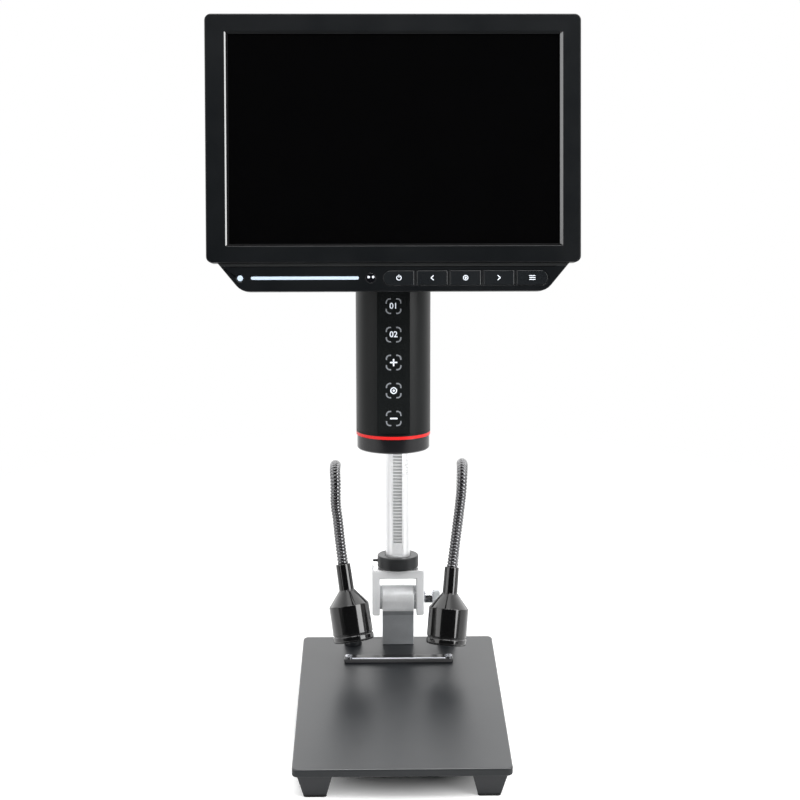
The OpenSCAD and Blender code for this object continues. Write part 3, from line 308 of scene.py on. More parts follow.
def fix_place():
    """Moves the place of the piece in hand into its mesh."""
    bpy.ops.object.transform_apply(location=True, rotation=True, scale=True)


def settle(piece, body, slot, finish, *replaced):
    """Fixes a finished piece in the frame: it rides, is painted, and stands in for what it
    replaces."""
    hold(piece)
    fix_place()
    bpy.ops.object.shade_smooth_by_angle(angle=math.radians(34), keep_sharp_edges=False)
    flat = piece.modifiers.new("flat_faces", "WEIGHTED_NORMAL")
    flat.keep_sharp = True
    bpy.ops.object.modifier_apply(modifier=flat.name)
    piece.data.materials.clear()
    piece.data.materials.append(finish)
    if body is not None:
        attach(piece, body)
    if replaced:
        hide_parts(*replaced)
    return piece


def take_modifiers(piece):
    """Applies every modifier of the piece, in order."""
    hold(piece)
    for name in [m.name for m in piece.modifiers]:
        bpy.ops.object.modifier_apply(modifier=name)


def rounded(piece, width, special=(), place=None, angle=32, segments=4):
    """Rounds each sharp edge by width in mm. special holds pairs of a width and a test on the
    edge's middle, in mm in the piece's place."""
    inward = (place or Matrix.Identity(4)).inverted()
    bm = bmesh.new()
    bm.from_mesh(piece.data)
    layers, key = bm.edges.layers.float, "bevel_weight_edge"
    weight = layers.get(key) or layers.new(key)
    widest = max([width] + [w for w, test in special])
    for edge in bm.edges:
        if not edge.is_manifold or edge.calc_face_angle(0) < math.radians(angle):
            continue
        middle = inward @ ((edge.verts[0].co + edge.verts[1].co) / 2) / mm
        chosen = next((w for w, test in special if test(middle)), width)
        edge[weight] = chosen / widest
    bm.to_mesh(piece.data)
    bm.free()
    bevel = piece.modifiers.new("rounding", "BEVEL")
    bevel.limit_method = "WEIGHT"
    bevel.width = widest * mm
    bevel.segments = segments
    bevel.use_clamp_overlap = False
    take_modifiers(piece)


def from_part(node, name):
    """A merged copy of a part of the frame, to be given its rounded edges and finish."""
    hold(frame["nodes"][node])
    bpy.ops.object.duplicate()
    piece = bpy.context.object
    piece.parent = None
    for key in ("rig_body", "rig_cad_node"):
        if key in piece:
            del piece[key]
    piece.name = name
    open_up()
    bpy.ops.mesh.remove_doubles(threshold=2e-6)
    bpy.ops.mesh.dissolve_limited(angle_limit=math.radians(1))
    close_up()
    if piece.data.has_custom_normals:
        bpy.ops.mesh.customdata_custom_splitnormals_clear()
    return piece


def dressed(node, body, slot, finish, width, special=(), place=None, angle=32, segments=4):
    """A part of the frame with rounded edges and its finish, standing in for it."""
    piece = from_part(node, node + "_finished")
    rounded(piece, width, special, place, angle, segments)
    return settle(piece, body, slot, finish, node)


def paint_faces(piece, finish, test, place=Matrix.Identity(4)):
    """Gives one more finish to the faces whose middle, in mm in the piece's place, passes."""
    piece.data.materials.append(finish)
    inward = place.inverted()
    for face in piece.data.polygons:
        if test(inward @ face.center / mm):
            face.material_index = len(piece.data.materials) - 1


stage_coat = finish_of("stage_powder_coat", (0.008, 0.0095, 0.0115), (0.33, 0.39), tone=0.06,
                       patch=0.05, grain=0.00045, bump=0.12, sheen=0.74)
stage_edge = finish_of("stage_edge_coat", (0.017, 0.0185, 0.02), (0.4, 0.5), tone=0.06,
                       patch=0.05, grain=0.00045, bump=0.12, sheen=0.22)
rim_x, rim_y = 70.5, 96.5
near_top, near_bottom, below_top_edge = 25.4, 19.6, 24.9


def at_rim(p):
    """Whether a point of the plate is at its outer edge."""
    return abs(p.x) > rim_x or abs(p.y) > rim_y


plate = dressed("base_plate", "base", "stage_paint", stage_coat, width=0.5, special=[
    (1.2, lambda p: p.z > near_top and at_rim(p)),
    (0.8, lambda p: p.z < near_bottom and at_rim(p))])
paint_faces(plate, stage_edge, lambda p: p.z < below_top_edge)


# Feet: four flared blocks moulded in dark plastic, one under each corner of the plate, each with a
# thin rubber pad glued to its underside.
foot_plastic = finish_of("foot_plastic", (0.014, 0.015, 0.017), (0.4, 0.5), tone=0.08,
                         grain=0.0005, bump=0.12, sheen=0.3)
dressed("base_feet", "base", "foot_plastic", foot_plastic, width=0.6)
pad_rubber = finish_of("pad_rubber", (0.009, 0.009, 0.009), (0.65, 0.8), tone=0.2, grain=0.0004,
                       bump=0.3, sheen=0.3)
dressed("foot_pads", "base", "pad_rubber", pad_rubber, width=0.25)


# Plate screws: socket and countersunk screws of bright zinc-plated steel that hold the feet, the
# tilt post and the stop bar from below and above.
def repaint(node, finish):
    """Gives a part of the frame its finish and leaves its shape."""
    part = frame["nodes"][node]
    part.data.materials.clear()
    part.data.materials.append(finish)


screw_zinc = finish_of("screw_zinc", (0.62, 0.63, 0.66), (0.2, 0.32), metal=1.0, tone=0.08,
                       grain=0.0004, bump=0.05)
repaint("base_screws", screw_zinc)


# Tilt post: a silver-painted cast block bolted to the plate, with the round knuckle on top that the
# fork turns on.
post_silver = finish_of("post_silver", (0.56, 0.58, 0.6), (0.42, 0.52), metal=0.75, tone=0.1,
                        patch=0.01, grain=0.0007, bump=0.16)
post = dressed("tilt_post", "base", "post_paint", post_silver, width=0.5)
# The knuckle's faces get a paler copy of the silver paint: painted light, as if lit from above.
knuckle_painted_light = finish_of("knuckle_painted_light", (0.86, 0.87, 0.88), (0.36, 0.44), metal=0.4, tone=0.1,
                          patch=0.01, grain=0.0006, bump=0.16)
knuckle_foot = 55.5
paint_faces(post, knuckle_painted_light, lambda p: p.z > knuckle_foot)


# Slide stop: a low glossy black bar across the plate that a slide or board is pushed against, held
# by a small bright screw at each end, with a thin bright rod let in along its top.
stop_gloss = finish_of("stop_gloss", (0.011, 0.011, 0.012), (0.12, 0.2), tone=0.1, grain=0.0008,
                       bump=0.03)
bar = dressed("stop_bar", "base", "stop_plastic", stop_gloss, width=0.7)
# The bar's front face gets a lighter grey than its glossy top: painted light.
stop_front_painted_light = finish_of("stop_front_painted_light", (0.06, 0.06, 0.062), (0.3, 0.4), tone=0.08, grain=0.0006,
                       bump=0.06)
front_face = 54.7
paint_faces(bar, stop_front_painted_light, lambda p: p.y < front_face)
stop_chrome = finish_of("stop_chrome", (0.88, 0.9, 0.97), (0.3, 0.36), metal=0.3, tone=0.03,
                        bump=0.02)
rod_radius, rod_length, rod_y, rod_z = 0.65, 72, 56.4, 28.35
bpy.ops.object.select_all(action="DESELECT")
bpy.ops.mesh.primitive_cylinder_add(vertices=24, radius=rod_radius * mm, depth=rod_length * mm,
                                    location=(0, rod_y * mm, rod_z * mm),
                                    rotation=(0, math.radians(90), 0))
stop_wire = bpy.context.object
stop_wire.name = "stop_wire"
fix_place()
rounded(stop_wire, width=0.4, angle=60)
settle(stop_wire, "base", "bright_screws", stop_chrome)


# Lamp sockets and supply box: two turned collars, powder coated like the plate, that the goosenecks
# stand in, and the closed plastic box under the plate that feeds them.
dressed("lamp_sockets", "base", "black_metal", stage_coat, width=0.8)
box_plastic = finish_of("box_plastic", (0.016, 0.016, 0.017), (0.42, 0.55), tone=0.12,
                        grain=0.0005, bump=0.14)
dressed("lamp_junction_box", "base", "black_plastic", box_plastic, width=0.7)


# Fork: a U-shaped casting in matt silver paint that holds the column over the knuckle. Its top faces
# are painted a paler, glossier silver: a painted highlight of the light from above. It has a nylon
# washer on each side, a bolt through all of them, and a grub screw in its left side against the column.
joints = {joint["name"]: joint for joint in frame["joints"]}
lean = joints["carriage_slide"]["axis"]
lean_angle = math.atan2(lean[1], lean[2])
column_place = (Matrix.Translation(joints["column_tilt"]["pos_m"])
                @ Matrix.Rotation(-lean_angle, 4, "X"))
fork_silver = finish_of("fork_silver", (0.68, 0.685, 0.695), (0.42, 0.52), metal=0.1, tone=0.05,
                        patch=0.012, grain=0.0006, bump=0.1)
fork = dressed("column_fork", "column", "fork_metal", fork_silver, width=0.9)
# The top faces get a paler, glossier copy of the silver: a painted highlight.
fork_top_painted_highlight = finish_of("fork_top_painted_highlight", (0.92, 0.925, 0.93), (0.24, 0.32), metal=0.7, tone=0.03,
                        patch=0.012, bump=0.03)
highlight_from = 24.3
paint_faces(fork, fork_top_painted_highlight, lambda p: p.z > highlight_from, column_place)
washer_nylon = finish_of("washer_nylon", (0.62, 0.63, 0.64), (0.25, 0.35), metal=0.5, tone=0.1,
                         bump=0.06)
dressed("fork_washers", "column", "washer_plastic", washer_nylon, width=0.2)
dressed("pivot_bolt", "column", "bright_screws", screw_zinc, width=0.3, segments=3)
repaint("column_screw", screw_zinc)


# Column: a polished hard-chromed steel rod with a toothed rack let into its front, closed by a
# plastic cap. The roots of the teeth are painted darker: painted shade between the teeth.
chrome_rod = finish_of("chrome_rod", (0.95, 0.955, 0.965), (0.27, 0.3), metal=0.6, tone=0.01,
                       patch=0.02, grain=0.0004, bump=0.005, stretch=(1, 1, 14),
                       turn=math.degrees(lean_angle))
column_tube = from_part("column_rod", "column_rod_polished")
rounded(column_tube, width=0.4, angle=40, segments=3)
settle(column_tube, "column", "column_steel", chrome_rod, "column_rod")
rack_steel = finish_of("rack_steel", (0.82, 0.83, 0.84), (0.4, 0.5), metal=0.3, tone=0.1,
                       patch=0.008, grain=0.0003, bump=0.05)
rack_piece = from_part("column_rack", "column_rack_cut")
settle(rack_piece, "column", "column_steel", rack_steel, "column_rack")
# The faces at the roots of the teeth get a darker copy of the rack steel: painted shade.
rack_roots_painted_shade = finish_of("rack_roots_painted_shade", (0.6, 0.605, 0.61), (0.3, 0.4), metal=0.3, tone=0.1,
                     patch=0.008, grain=0.0003, bump=0.05)
tooth_front = min((column_place.inverted() @ v.co).y for v in rack_piece.data.vertices) / mm
shade_from, shade_to, shade_half_width = 0.3, 2.0, 3.3
paint_faces(rack_piece, rack_roots_painted_shade,
            lambda p: (tooth_front + shade_from < p.y < tooth_front + shade_to
                       and abs(p.x) < shade_half_width), column_place)
cap_plastic = finish_of("cap_plastic", (0.018, 0.018, 0.019), (0.3, 0.4), tone=0.1, grain=0.0005,
                        bump=0.08)
dressed("column_cap", "column", "black_plastic", cap_plastic, width=0.5)


# Stop collar: a turned ring of blackened steel that is clamped on the column by a small screw at
# its side, so that the head can't drop onto the stage.
collar_black = finish_of("collar_black", (0.021, 0.022, 0.0235), (0.36, 0.44), metal=0.3,
                         tone=0.12, patch=0.01, grain=0.0004, bump=0.05, stretch=(1, 1, 10),
                         turn=math.degrees(lean_angle), sheen=0.5)
dressed("stop_collar", "collar", "dark_steel", collar_black, width=0.35)
dressed("collar_screw", "collar", "dark_steel", collar_black, width=0.2, segments=2)


# Clamp lever: a chromed hub with a square boss and a short round handle, screwed on the end of the
# tilt bolt to lock the column's lean.
lever_chrome = finish_of("lever_chrome", (0.72, 0.735, 0.76), (0.1, 0.2), metal=1.0, tone=0.05,
                         patch=0.01, grain=0.0006, bump=0.03)
lever = dressed("clamp_lever", "clamp", "lever_chrome", lever_chrome, width=0.7)
boss_satin = finish_of("boss_satin", (0.6, 0.63, 0.645), (0.3, 0.4), metal=0.35, tone=0.06,
                       patch=0.01, grain=0.0005, bump=0.08)
boss_from, boss_to, boss_back = 28, 32, 88
paint_faces(lever, boss_satin, lambda p: boss_from < p.x < boss_to and p.y < boss_back)


# Focus carriage: a black painted block that slides on the column on two bronze bushes, with the arm
# and ring for the barrel screwed to its front.
head_paint = finish_of("head_paint", (0.004, 0.0047, 0.0049), (0.3, 0.38), tone=0.08,
                       grain=0.0005, bump=0.09, sheen=0.2)
dressed("carriage_body", "carriage", "barrel_paint", head_paint, width=1.2, angle=40)
dressed("head_arm", "carriage", "barrel_paint", head_paint, width=0.6, angle=40)
bush_bronze = finish_of("bush_bronze", (0.5, 0.3, 0.12), (0.25, 0.4), metal=1.0, tone=0.1,
                        grain=0.0004, bump=0.05)
repaint("carriage_bushes", bush_bronze)
dressed("carriage_screws", "carriage", "bright_screws", screw_zinc, width=0.25, segments=2)


# Focus knobs: two black knobs with finger grooves on the ends of the pinion shaft, which turns in
# the carriage and climbs the rack.
repaint("pinion_shaft", rack_steel)
dressed("focus_knobs", "focus", "black_plastic", cap_plastic, width=0.6)


# Barrel: a black painted tube with a flat along its front, ringed in red above a glossy nose, with
# the front lens set in the nose and the camera inside.
turn_height, red_height = 200, 153.35
dressed("barrel_shell", "barrel", "barrel_paint", head_paint, width=0.3, angle=40)
ring_red = finish_of("ring_red", (0.56, 0.014, 0.013), (0.2, 0.28), tone=0.06, bump=0.03,
                     sheen=0.3)
ring = from_part("red_ring", "red_ring_finished")
turn_pos = Vector(joints["barrel_turn"]["pos_m"])
ring_top = turn_pos + Vector(lean) * (red_height - turn_height) * mm


def scribe(point, normal):
    """Cuts a line round the open piece where a plane meets its faces."""
    bpy.ops.mesh.select_all(action="SELECT")
    bpy.ops.mesh.bisect(plane_co=point, plane_no=normal)


open_up()
scribe(ring_top, lean)
close_up()
settle(ring, "barrel", "ring_red", ring_red, "red_ring")
paint_faces(ring, head_paint, lambda p: (p * mm - ring_top).dot(Vector(lean)) > 0)
nose_gloss = finish_of("nose_gloss", (0.008, 0.008, 0.009), (0.06, 0.1), tone=0.1, grain=0.0009,
                       bump=0.02)
dressed("nose_ring", "barrel", "nose_gloss", nose_gloss, width=0.4, angle=40)
dressed("barrel_neck", "barrel", "barrel_paint", head_paint, width=0.3, angle=40)
dressed("tilt_yoke", "barrel", "barrel_paint", head_paint, width=0.6, angle=40)
dressed("hinge_pin", "barrel", "bright_screws", screw_zinc, width=0.3, segments=3)
board_green = finish_of("board_green", (0.02, 0.11, 0.05), (0.3, 0.5), tone=0.25, patch=0.004,
                        grain=0.0005, bump=0.1)
repaint("camera_module", board_green)


def clear_finish(name, colour, rough, through):
    """Clear glass or plastic that lets light through and keeps a faint unevenness."""
    material = finish_of(name, colour, (rough, rough + 0.04), tone=0.04, grain=0.002, bump=0.02)
    shader = material.node_tree.nodes["Principled BSDF"]
    shader.inputs["Transmission Weight"].default_value = through
    shader.inputs["IOR"].default_value = 1.49
    return material


lens_glass = clear_finish("lens_glass", (0.93, 0.95, 0.98), rough=0.02, through=0.9)
repaint("objective_lens", lens_glass)


# Touch panel: a strip of dark smoked plastic let into the barrel's flat. Five keys are printed on
# it, each a mark inside four grey corner brackets.
touch_black = finish_of("touch_black", (0.0046, 0.0056, 0.0058), (0.2, 0.28), tone=0.1,
                        grain=0.0009, bump=0.03)
dressed("touch_panel", "barrel", "touch_plastic", touch_black, width=0.2, segments=2)
barrel_place = (Matrix.Translation(turn_pos) @ Matrix.Rotation(-lean_angle, 4, "X")
                @ Matrix.Translation((0, 0, -turn_height * mm)))
upright = Matrix.Rotation(math.radians(90), 4, "X")
print_white = finish_of("print_white", (0.66, 0.7, 0.76), (0.4, 0.5), tone=0.04, bump=0.02)
print_grey = finish_of("print_grey", (0.165, 0.175, 0.19), (0.4, 0.5), tone=0.04, bump=0.02)


def flat_start(name, width, height):
    """A flat printed shape, width by height in mm, to be edited."""
    bpy.ops.object.select_all(action="DESELECT")
    bpy.ops.mesh.primitive_plane_add(size=1.0)
    piece = bpy.context.object
    piece.name = name
    piece.scale = (width * mm, height * mm, 1)
    bpy.ops.object.transform_apply(location=False, rotation=False, scale=True)
    return piece


def pick_faces(piece, test):
    """Opens the piece and selects the faces whose middle, in mm, and normal pass the test."""
    bpy.ops.object.mode_set(mode="EDIT")
    bpy.ops.mesh.select_mode(type="FACE")
    bm = bmesh.from_edit_mesh(piece.data)
    for face in bm.faces:
        face.select_set(False)
    for face in bm.faces:
        if test(face.calc_center_median() / mm, face.normal):
            face.select_set(True)
    bmesh.update_edit_mesh(piece.data)


def cut_out(piece, test):
    """Deletes the faces of a flat print whose middle passes the test."""
    pick_faces(piece, lambda p, n: test(p))
    bpy.ops.mesh.delete(type="FACE")
    close_up()


def put_at(piece, at, turn=0.0):
    """Sets a flat print down at its place on the sheet, in mm, and turned by degrees."""
    piece.rotation_euler = (0, 0, math.radians(turn))
    piece.location = (at[0] * mm, at[1] * mm, 0)
    fix_place()
    return piece


def printed(pieces, name, place, thick=0.05):
    """Joins flat shapes, gives them the thickness of ink and lays them in their place."""
    bpy.ops.object.select_all(action="DESELECT")
    for piece in pieces:
        piece.select_set(True)
    bpy.context.view_layer.objects.active = pieces[0]
    if len(pieces) > 1:
        bpy.ops.object.join()
    piece = bpy.context.object
    piece.name = name
    ink = piece.modifiers.new("ink", "SOLIDIFY")
    ink.thickness = thick * mm
    ink.offset = 1.0
    take_modifiers(piece)
    piece.matrix_world = place @ piece.matrix_world
    return piece


def stroke(length, width, at=(0, 0), turn=0.0):
    """One straight printed stroke with rounded ends."""
    piece = flat_start("stroke", length, width)
    open_up()
    bpy.ops.mesh.bevel(offset=width * 0.45 * mm, segments=3, affect="VERTICES")
    close_up()
    return put_at(piece, at, turn)


def printed_ring(radius, width, missing=None):
    """A printed ring, open where missing says."""
    bpy.ops.object.select_all(action="DESELECT")
    bpy.ops.mesh.primitive_circle_add(vertices=48, radius=radius * mm, fill_type="NGON")
    piece = bpy.context.object
    pick_faces(piece, lambda p, n: True)
    bpy.ops.mesh.inset(thickness=width * mm)
    bpy.ops.mesh.delete(type="FACE")
    close_up()
    if missing:
        cut_out(piece, missing)
    return put_at(piece, (0, 0))


def disc(radius):
    """A printed dot."""
    bpy.ops.object.select_all(action="DESELECT")
    bpy.ops.mesh.primitive_circle_add(vertices=24, radius=radius * mm, fill_type="NGON")
    return put_at(bpy.context.object, (0, 0))


def digits(text):
    """A printed number, made a mesh."""
    bpy.ops.object.select_all(action="DESELECT")
    bpy.ops.object.text_add()
    word = bpy.context.object
    word.data.body = text
    word.data.size = 5.6 * mm
    word.data.align_x, word.data.align_y = "CENTER", "CENTER"
    word.data.offset = 0.08 * mm
    bpy.ops.object.convert(target="MESH")
    return bpy.context.object


def key_bracket():
    """Four printed corners of a rounded square."""
    square, corner, line, gap = 10.8, 2.8, 0.95, 1.75
    piece = flat_start("bracket", square, square)
    open_up()
    bpy.ops.mesh.bevel(offset=corner * mm, segments=7, affect="VERTICES")
    close_up()
    pick_faces(piece, lambda p, n: True)
    bpy.ops.mesh.inset(thickness=line * mm)
    bpy.ops.mesh.delete(type="FACE")
    for normal in ((1, 0, 0), (0, 1, 0)):
        for edge in (-gap * mm, gap * mm):
            scribe([edge * n for n in normal], normal)
    close_up()
    cut_out(piece, lambda p: min(abs(p.x), abs(p.y)) < gap - 0.05)
    return piece


panel_face = -23.56
mark_length, mark_width = 5.2, 1.05
# how far up the barrel each key sits, in mm, and its mark
keys = (
    (243.45, lambda: [digits("01")]),
    (223.97, lambda: [digits("02")]),
    (204.75, lambda: [stroke(mark_length, mark_width), stroke(mark_length, mark_width, turn=90)]),
    (185.27, lambda: [printed_ring(2.35, 0.75), disc(0.8)]),
    (165.82, lambda: [stroke(mark_length, mark_width)]),
)
for number, (height, drawn) in enumerate(keys, start=1):
    place = barrel_place @ Matrix.Translation((0, panel_face * mm, height * mm)) @ upright
    bracket = printed([key_bracket()], f"key_{number}_bracket", place)
    settle(bracket, "barrel", "touch_plastic", print_grey)
    mark = printed(drawn(), f"key_{number}_mark", place, 0.06)
    settle(mark, "barrel", "touch_plastic", print_white)


# Display front: a moulded black frame with rounded outer edges and a narrow bevel round the screen
# opening, polished bright at its sides. Its bottom slope and the gaps beside the screen are painted
# near-black, painted shade. The screen panel is clamped behind it.
hinge = joints["display_tilt"]["pos_m"]
press = joints["power_press"]["axis"]
face_angle = math.atan2(-press[2], press[1])
face_ahead, middle_above = 0.0434, 0.0512
display_place = (Matrix.Translation(hinge) @ Matrix.Rotation(-face_angle, 4, "X")
                 @ Matrix.Translation((0, -face_ahead, middle_above)))
display_black = finish_of("display_black", (0.0022, 0.003, 0.0038), (0.3, 0.38), tone=0.07,
                          grain=0.0006, bump=0.06, sheen=0.34)
outer_x, outer_z = 119, 77
side_inner, side_outer, side_height = 110.3, 111.9, 70.7
bevel_front, bevel_back = 0.1, 1.19
gap_side, gap_low = 109, -68
bezel = from_part("display_bezel", "display_bezel_finished")
bpy.ops.object.mode_set(mode="EDIT")
for rim in (-side_inner, side_inner):
    scribe(display_place @ Vector((rim * mm, 0, 0)), (1, 0, 0))
close_up()
rounded(bezel, width=0.2, place=display_place, angle=24, special=[
    (0.9, lambda p: p.y < 0.5 and (abs(p.x) > outer_x or abs(p.z) > outer_z))])
settle(bezel, "display", "display_plastic", display_black, "display_bezel")
bevel_polish = finish_of("bevel_polish", (0.01, 0.01, 0.011), (0.08, 0.12), tone=0.05,
                         grain=0.0008, bump=0.02, sheen=1.0, coat=1.0)
paint_faces(bezel, bevel_polish,
            lambda p: (bevel_front < p.y < bevel_back and side_inner < abs(p.x) < side_outer
                       and abs(p.z) < side_height), display_place)
# The bottom slope of the bevel and the gaps beside the screen get a matte near-black: painted shade.
painted_shade_black = finish_of("painted_shade_black", (0.001, 0.001, 0.0012), (0.6, 0.7), tone=0.1, bump=0.05,
                      sheen=0.06)
paint_faces(bezel, painted_shade_black,
            lambda p: (bevel_front < p.y < bevel_back and abs(p.x) < side_outer
                       and (gap_side < abs(p.x) < side_inner or -side_height < p.z < gap_low)),
            display_place)
screen_black = finish_of("screen_black", (0.0007, 0.0007, 0.0008), (0.04, 0.07), tone=0.1,
                         grain=0.003, bump=0.0015, sheen=0.35)
repaint("lcd_panel", screen_black)


# Display back: a moulded housing with a raised middle for the electronics and a field of air slots,
# screwed to the front frame. The slots' edges stay sharp, as moulded.
def vented(p):
    """Whether a point of the housing lies in the field of air slots."""
    return abs(p.x) < 44 and p.y > 17 and 37 < p.z < 61


dressed("rear_cover", "display", "display_plastic", display_black, width=0.8,
        special=[(0.0, vented)], place=display_place, angle=24)


# Bar below the screen: a slanted moulding that carries the lights and the buttons, with a plain
# grey ledge along its top and a thin painted shadow line below that, standing for a groove.
chin = from_part("chin_cover", "chin_cover_finished")
ledge_edge, ledge_face, shadow_line_height = -84.1, 1.98, -84.35
bpy.ops.object.mode_set(mode="EDIT")
scribe(display_place @ Vector((0, 0, ledge_edge * mm)),
       display_place.to_3x3() @ Vector((0, 0, 1)))
close_up()
rounded(chin, width=0.3, place=display_place, angle=24, special=[
    (0.8, lambda p: p.y < 2.2 and p.z < -90 and (p.z < -100.5 or abs(p.x) > 97))])
settle(chin, "display", "display_plastic", display_black, "chin_cover")
ledge_grey = finish_of("ledge_grey", (0.016, 0.017, 0.0175), (0.3, 0.38), tone=0.07,
                       grain=0.0006, bump=0.06, sheen=0.4)
paint_faces(chin, ledge_grey, lambda p: 1.9 < p.y < 2.1 and p.z > ledge_edge, display_place)
shadow_line_place = (display_place @ Matrix.Translation((0, ledge_face * mm, shadow_line_height * mm))
                @ upright)
# A thin near-black printed stroke below the ledge: a painted shadow line in place of a groove.
settle(printed([stroke(216, 0.45)], "chin_painted_shadow_line", shadow_line_place),
       "display", "display_plastic", painted_shade_black)


# Lights: a long and a round light guide of milky plastic in black shrouds at the left of the bar,
# and the smoked window of the remote control's receiver.
light_white = finish_of("light_white", (0.42, 0.5, 0.6), (0.25, 0.35), tone=0.02, bump=0.02)
guides = from_part("light_guides", "light_guides_finished")
rounded(guides, width=0.0, place=display_place, angle=60, segments=6,
        special=[(1.2, lambda p: 4 < p.y < 14)])
settle(guides, "display", "light_plastic", light_white, "light_guides")
pick_faces(guides, lambda p, n: n.y < -0.9)
bpy.ops.mesh.inset(thickness=0.3 * mm)
bpy.ops.mesh.select_all(action="INVERT")
guides.data.materials.append(display_black)
guides.active_material_index = 1
bpy.ops.object.material_slot_assign()
close_up()
window_black = finish_of("window_black", (0.003, 0.003, 0.004), (0.04, 0.08), tone=0.1,
                         grain=0.002, bump=0.01)
dressed("ir_window", "display", "screen_glass", window_black, width=0.3)


# Inside and behind the display: the main board and button board, the sockets in the side wall, the
# black housing screws, and the steel bracket that the display tilts on.
repaint("display_boards", board_green)
port_metal = finish_of("port_metal", (0.45, 0.45, 0.47), (0.25, 0.35), metal=1.0, tone=0.08,
                       bump=0.04)
repaint("display_ports", port_metal)
screw_black = finish_of("screw_black", (0.025, 0.025, 0.027), (0.28, 0.38), metal=0.6, tone=0.1,
                        bump=0.05)
dressed("cover_screws", "display", "dark_steel", screw_black, width=0.25, segments=2)
bracket_black = finish_of("bracket_black", (0.02, 0.02, 0.021), (0.35, 0.45), metal=0.4, tone=0.1,
                          bump=0.1)
dressed("tilt_bracket", "display", "black_metal", bracket_black, width=0.7)


# Receivers: two small pale dots, side by side, on the smoked window between the light bar and the
# buttons. Each is a printed spot.
window_x, window_z, dot_apart = -15.3, -91.3, 1.5
for number, hand in enumerate((-1, 1), start=1):
    dot_place = display_place @ Matrix.Translation(
        ((window_x + hand * dot_apart) * mm, ledge_face * mm, window_z * mm)) @ upright
    settle(printed([disc(0.8)], f"receiver_{number}", dot_place),
           "display", "light_plastic", print_white)


# Buttons: five moulded keys in a row in the bar under the screen, each with a printed mark: on and
# off, back, select, forward and list.
button_black = finish_of("button_black", (0.005, 0.0062, 0.0074), (0.26, 0.34), tone=0.07,
                         grain=0.0006, bump=0.05)


def arrow(turn):
    """Two strokes that meet in a point, to the left or to the right."""
    return [stroke(2.5, 0.6, (0, 0.8), turn), stroke(2.5, 0.6, (0, -0.8), -turn)]


marks = {
    "button_power": lambda: [
        printed_ring(1.75, 0.5, missing=lambda p: abs(p.x) < 0.75 and p.y > 0),
        stroke(2.0, 0.5, (0, 1.2), 90)],
    "button_left": lambda: arrow(40),
    "button_select": lambda: [printed_ring(1.75, 0.5), disc(0.7)],
    "button_right": lambda: arrow(-40),
    "button_menu": lambda: [stroke(4.2, 0.55, (0, high)) for high in (1.25, 0, -1.25)],
}
row_start, row_pitch, row_height, key_face = 3.3, 22.15, -91.9, 1.7
for number, (node, drawn) in enumerate(marks.items()):
    body = node.split("_")[1] + "_button"
    dressed(node, body, "display_plastic", button_black, width=0.35, place=display_place,
            angle=24, special=[
                (0.8, lambda p: p.y < 2.3 and abs(p.z - row_height) < 1.2 and -5 < p.x < 100)])
    place = display_place @ Matrix.Translation(
        ((row_start + row_pitch * number) * mm, key_face * mm, row_height * mm)) @ upright
    settle(printed(drawn(), node + "_mark", place), body, "display_plastic", print_white)


# Goosenecks: two flexible corrugated steel tubes in glossy black that rise from the plate, turn
# over and carry the lamps. Each is one tube from its socket to the neck of its lamp.
gooseneck_gloss = finish_of("gooseneck_gloss", (0.12, 0.12, 0.125), (0.1, 0.16), metal=1.0,
                            tone=0.1, bump=0.03, coat=1.0)
socket_y, plate_top = 93.5, 25.5
# points along each tube, in mm, from the plate's top between the two sockets
routes = {
    "left": ((-35.5, -4, 8), (-37, -2, 22), (-39.5, 0.5, 40), (-42, 4, 60), (-45, 7, 80),
             (-47, 10, 100), (-48.5, 12, 120), (-48.5, 12.5, 134), (-48.5, 10, 141),
             (-48, 4, 146.5), (-48, -4.5, 148.5), (-48, -13, 146.5), (-47.5, -19, 141),
             (-47.5, -21.5, 134), (-47.5, -22, 124), (-46, -24, 112.5), (-44.5, -28.5, 98.5),
             (-42.3, -35.2, 81.5)),
    "right": ((38.5, -4, 8), (39, -2, 22), (40.5, 0.5, 40), (43, 4, 60), (45, 7, 80),
              (47.5, 10, 100), (49, 12, 120), (49.5, 12.5, 134.5), (49.5, 10, 142),
              (49, 4, 147.5), (49, -4.5, 149.5), (48.5, -13, 147.5), (48, -19, 142),
              (47.5, -21.5, 134.5), (46.5, -22, 124), (45, -24, 112), (43, -28.5, 97),
              (40.3, -35.2, 78.5)),
}
crown_point = 10
bead_pitch, bead_waist, bead_swell = 2.5, 3.3, 0.75
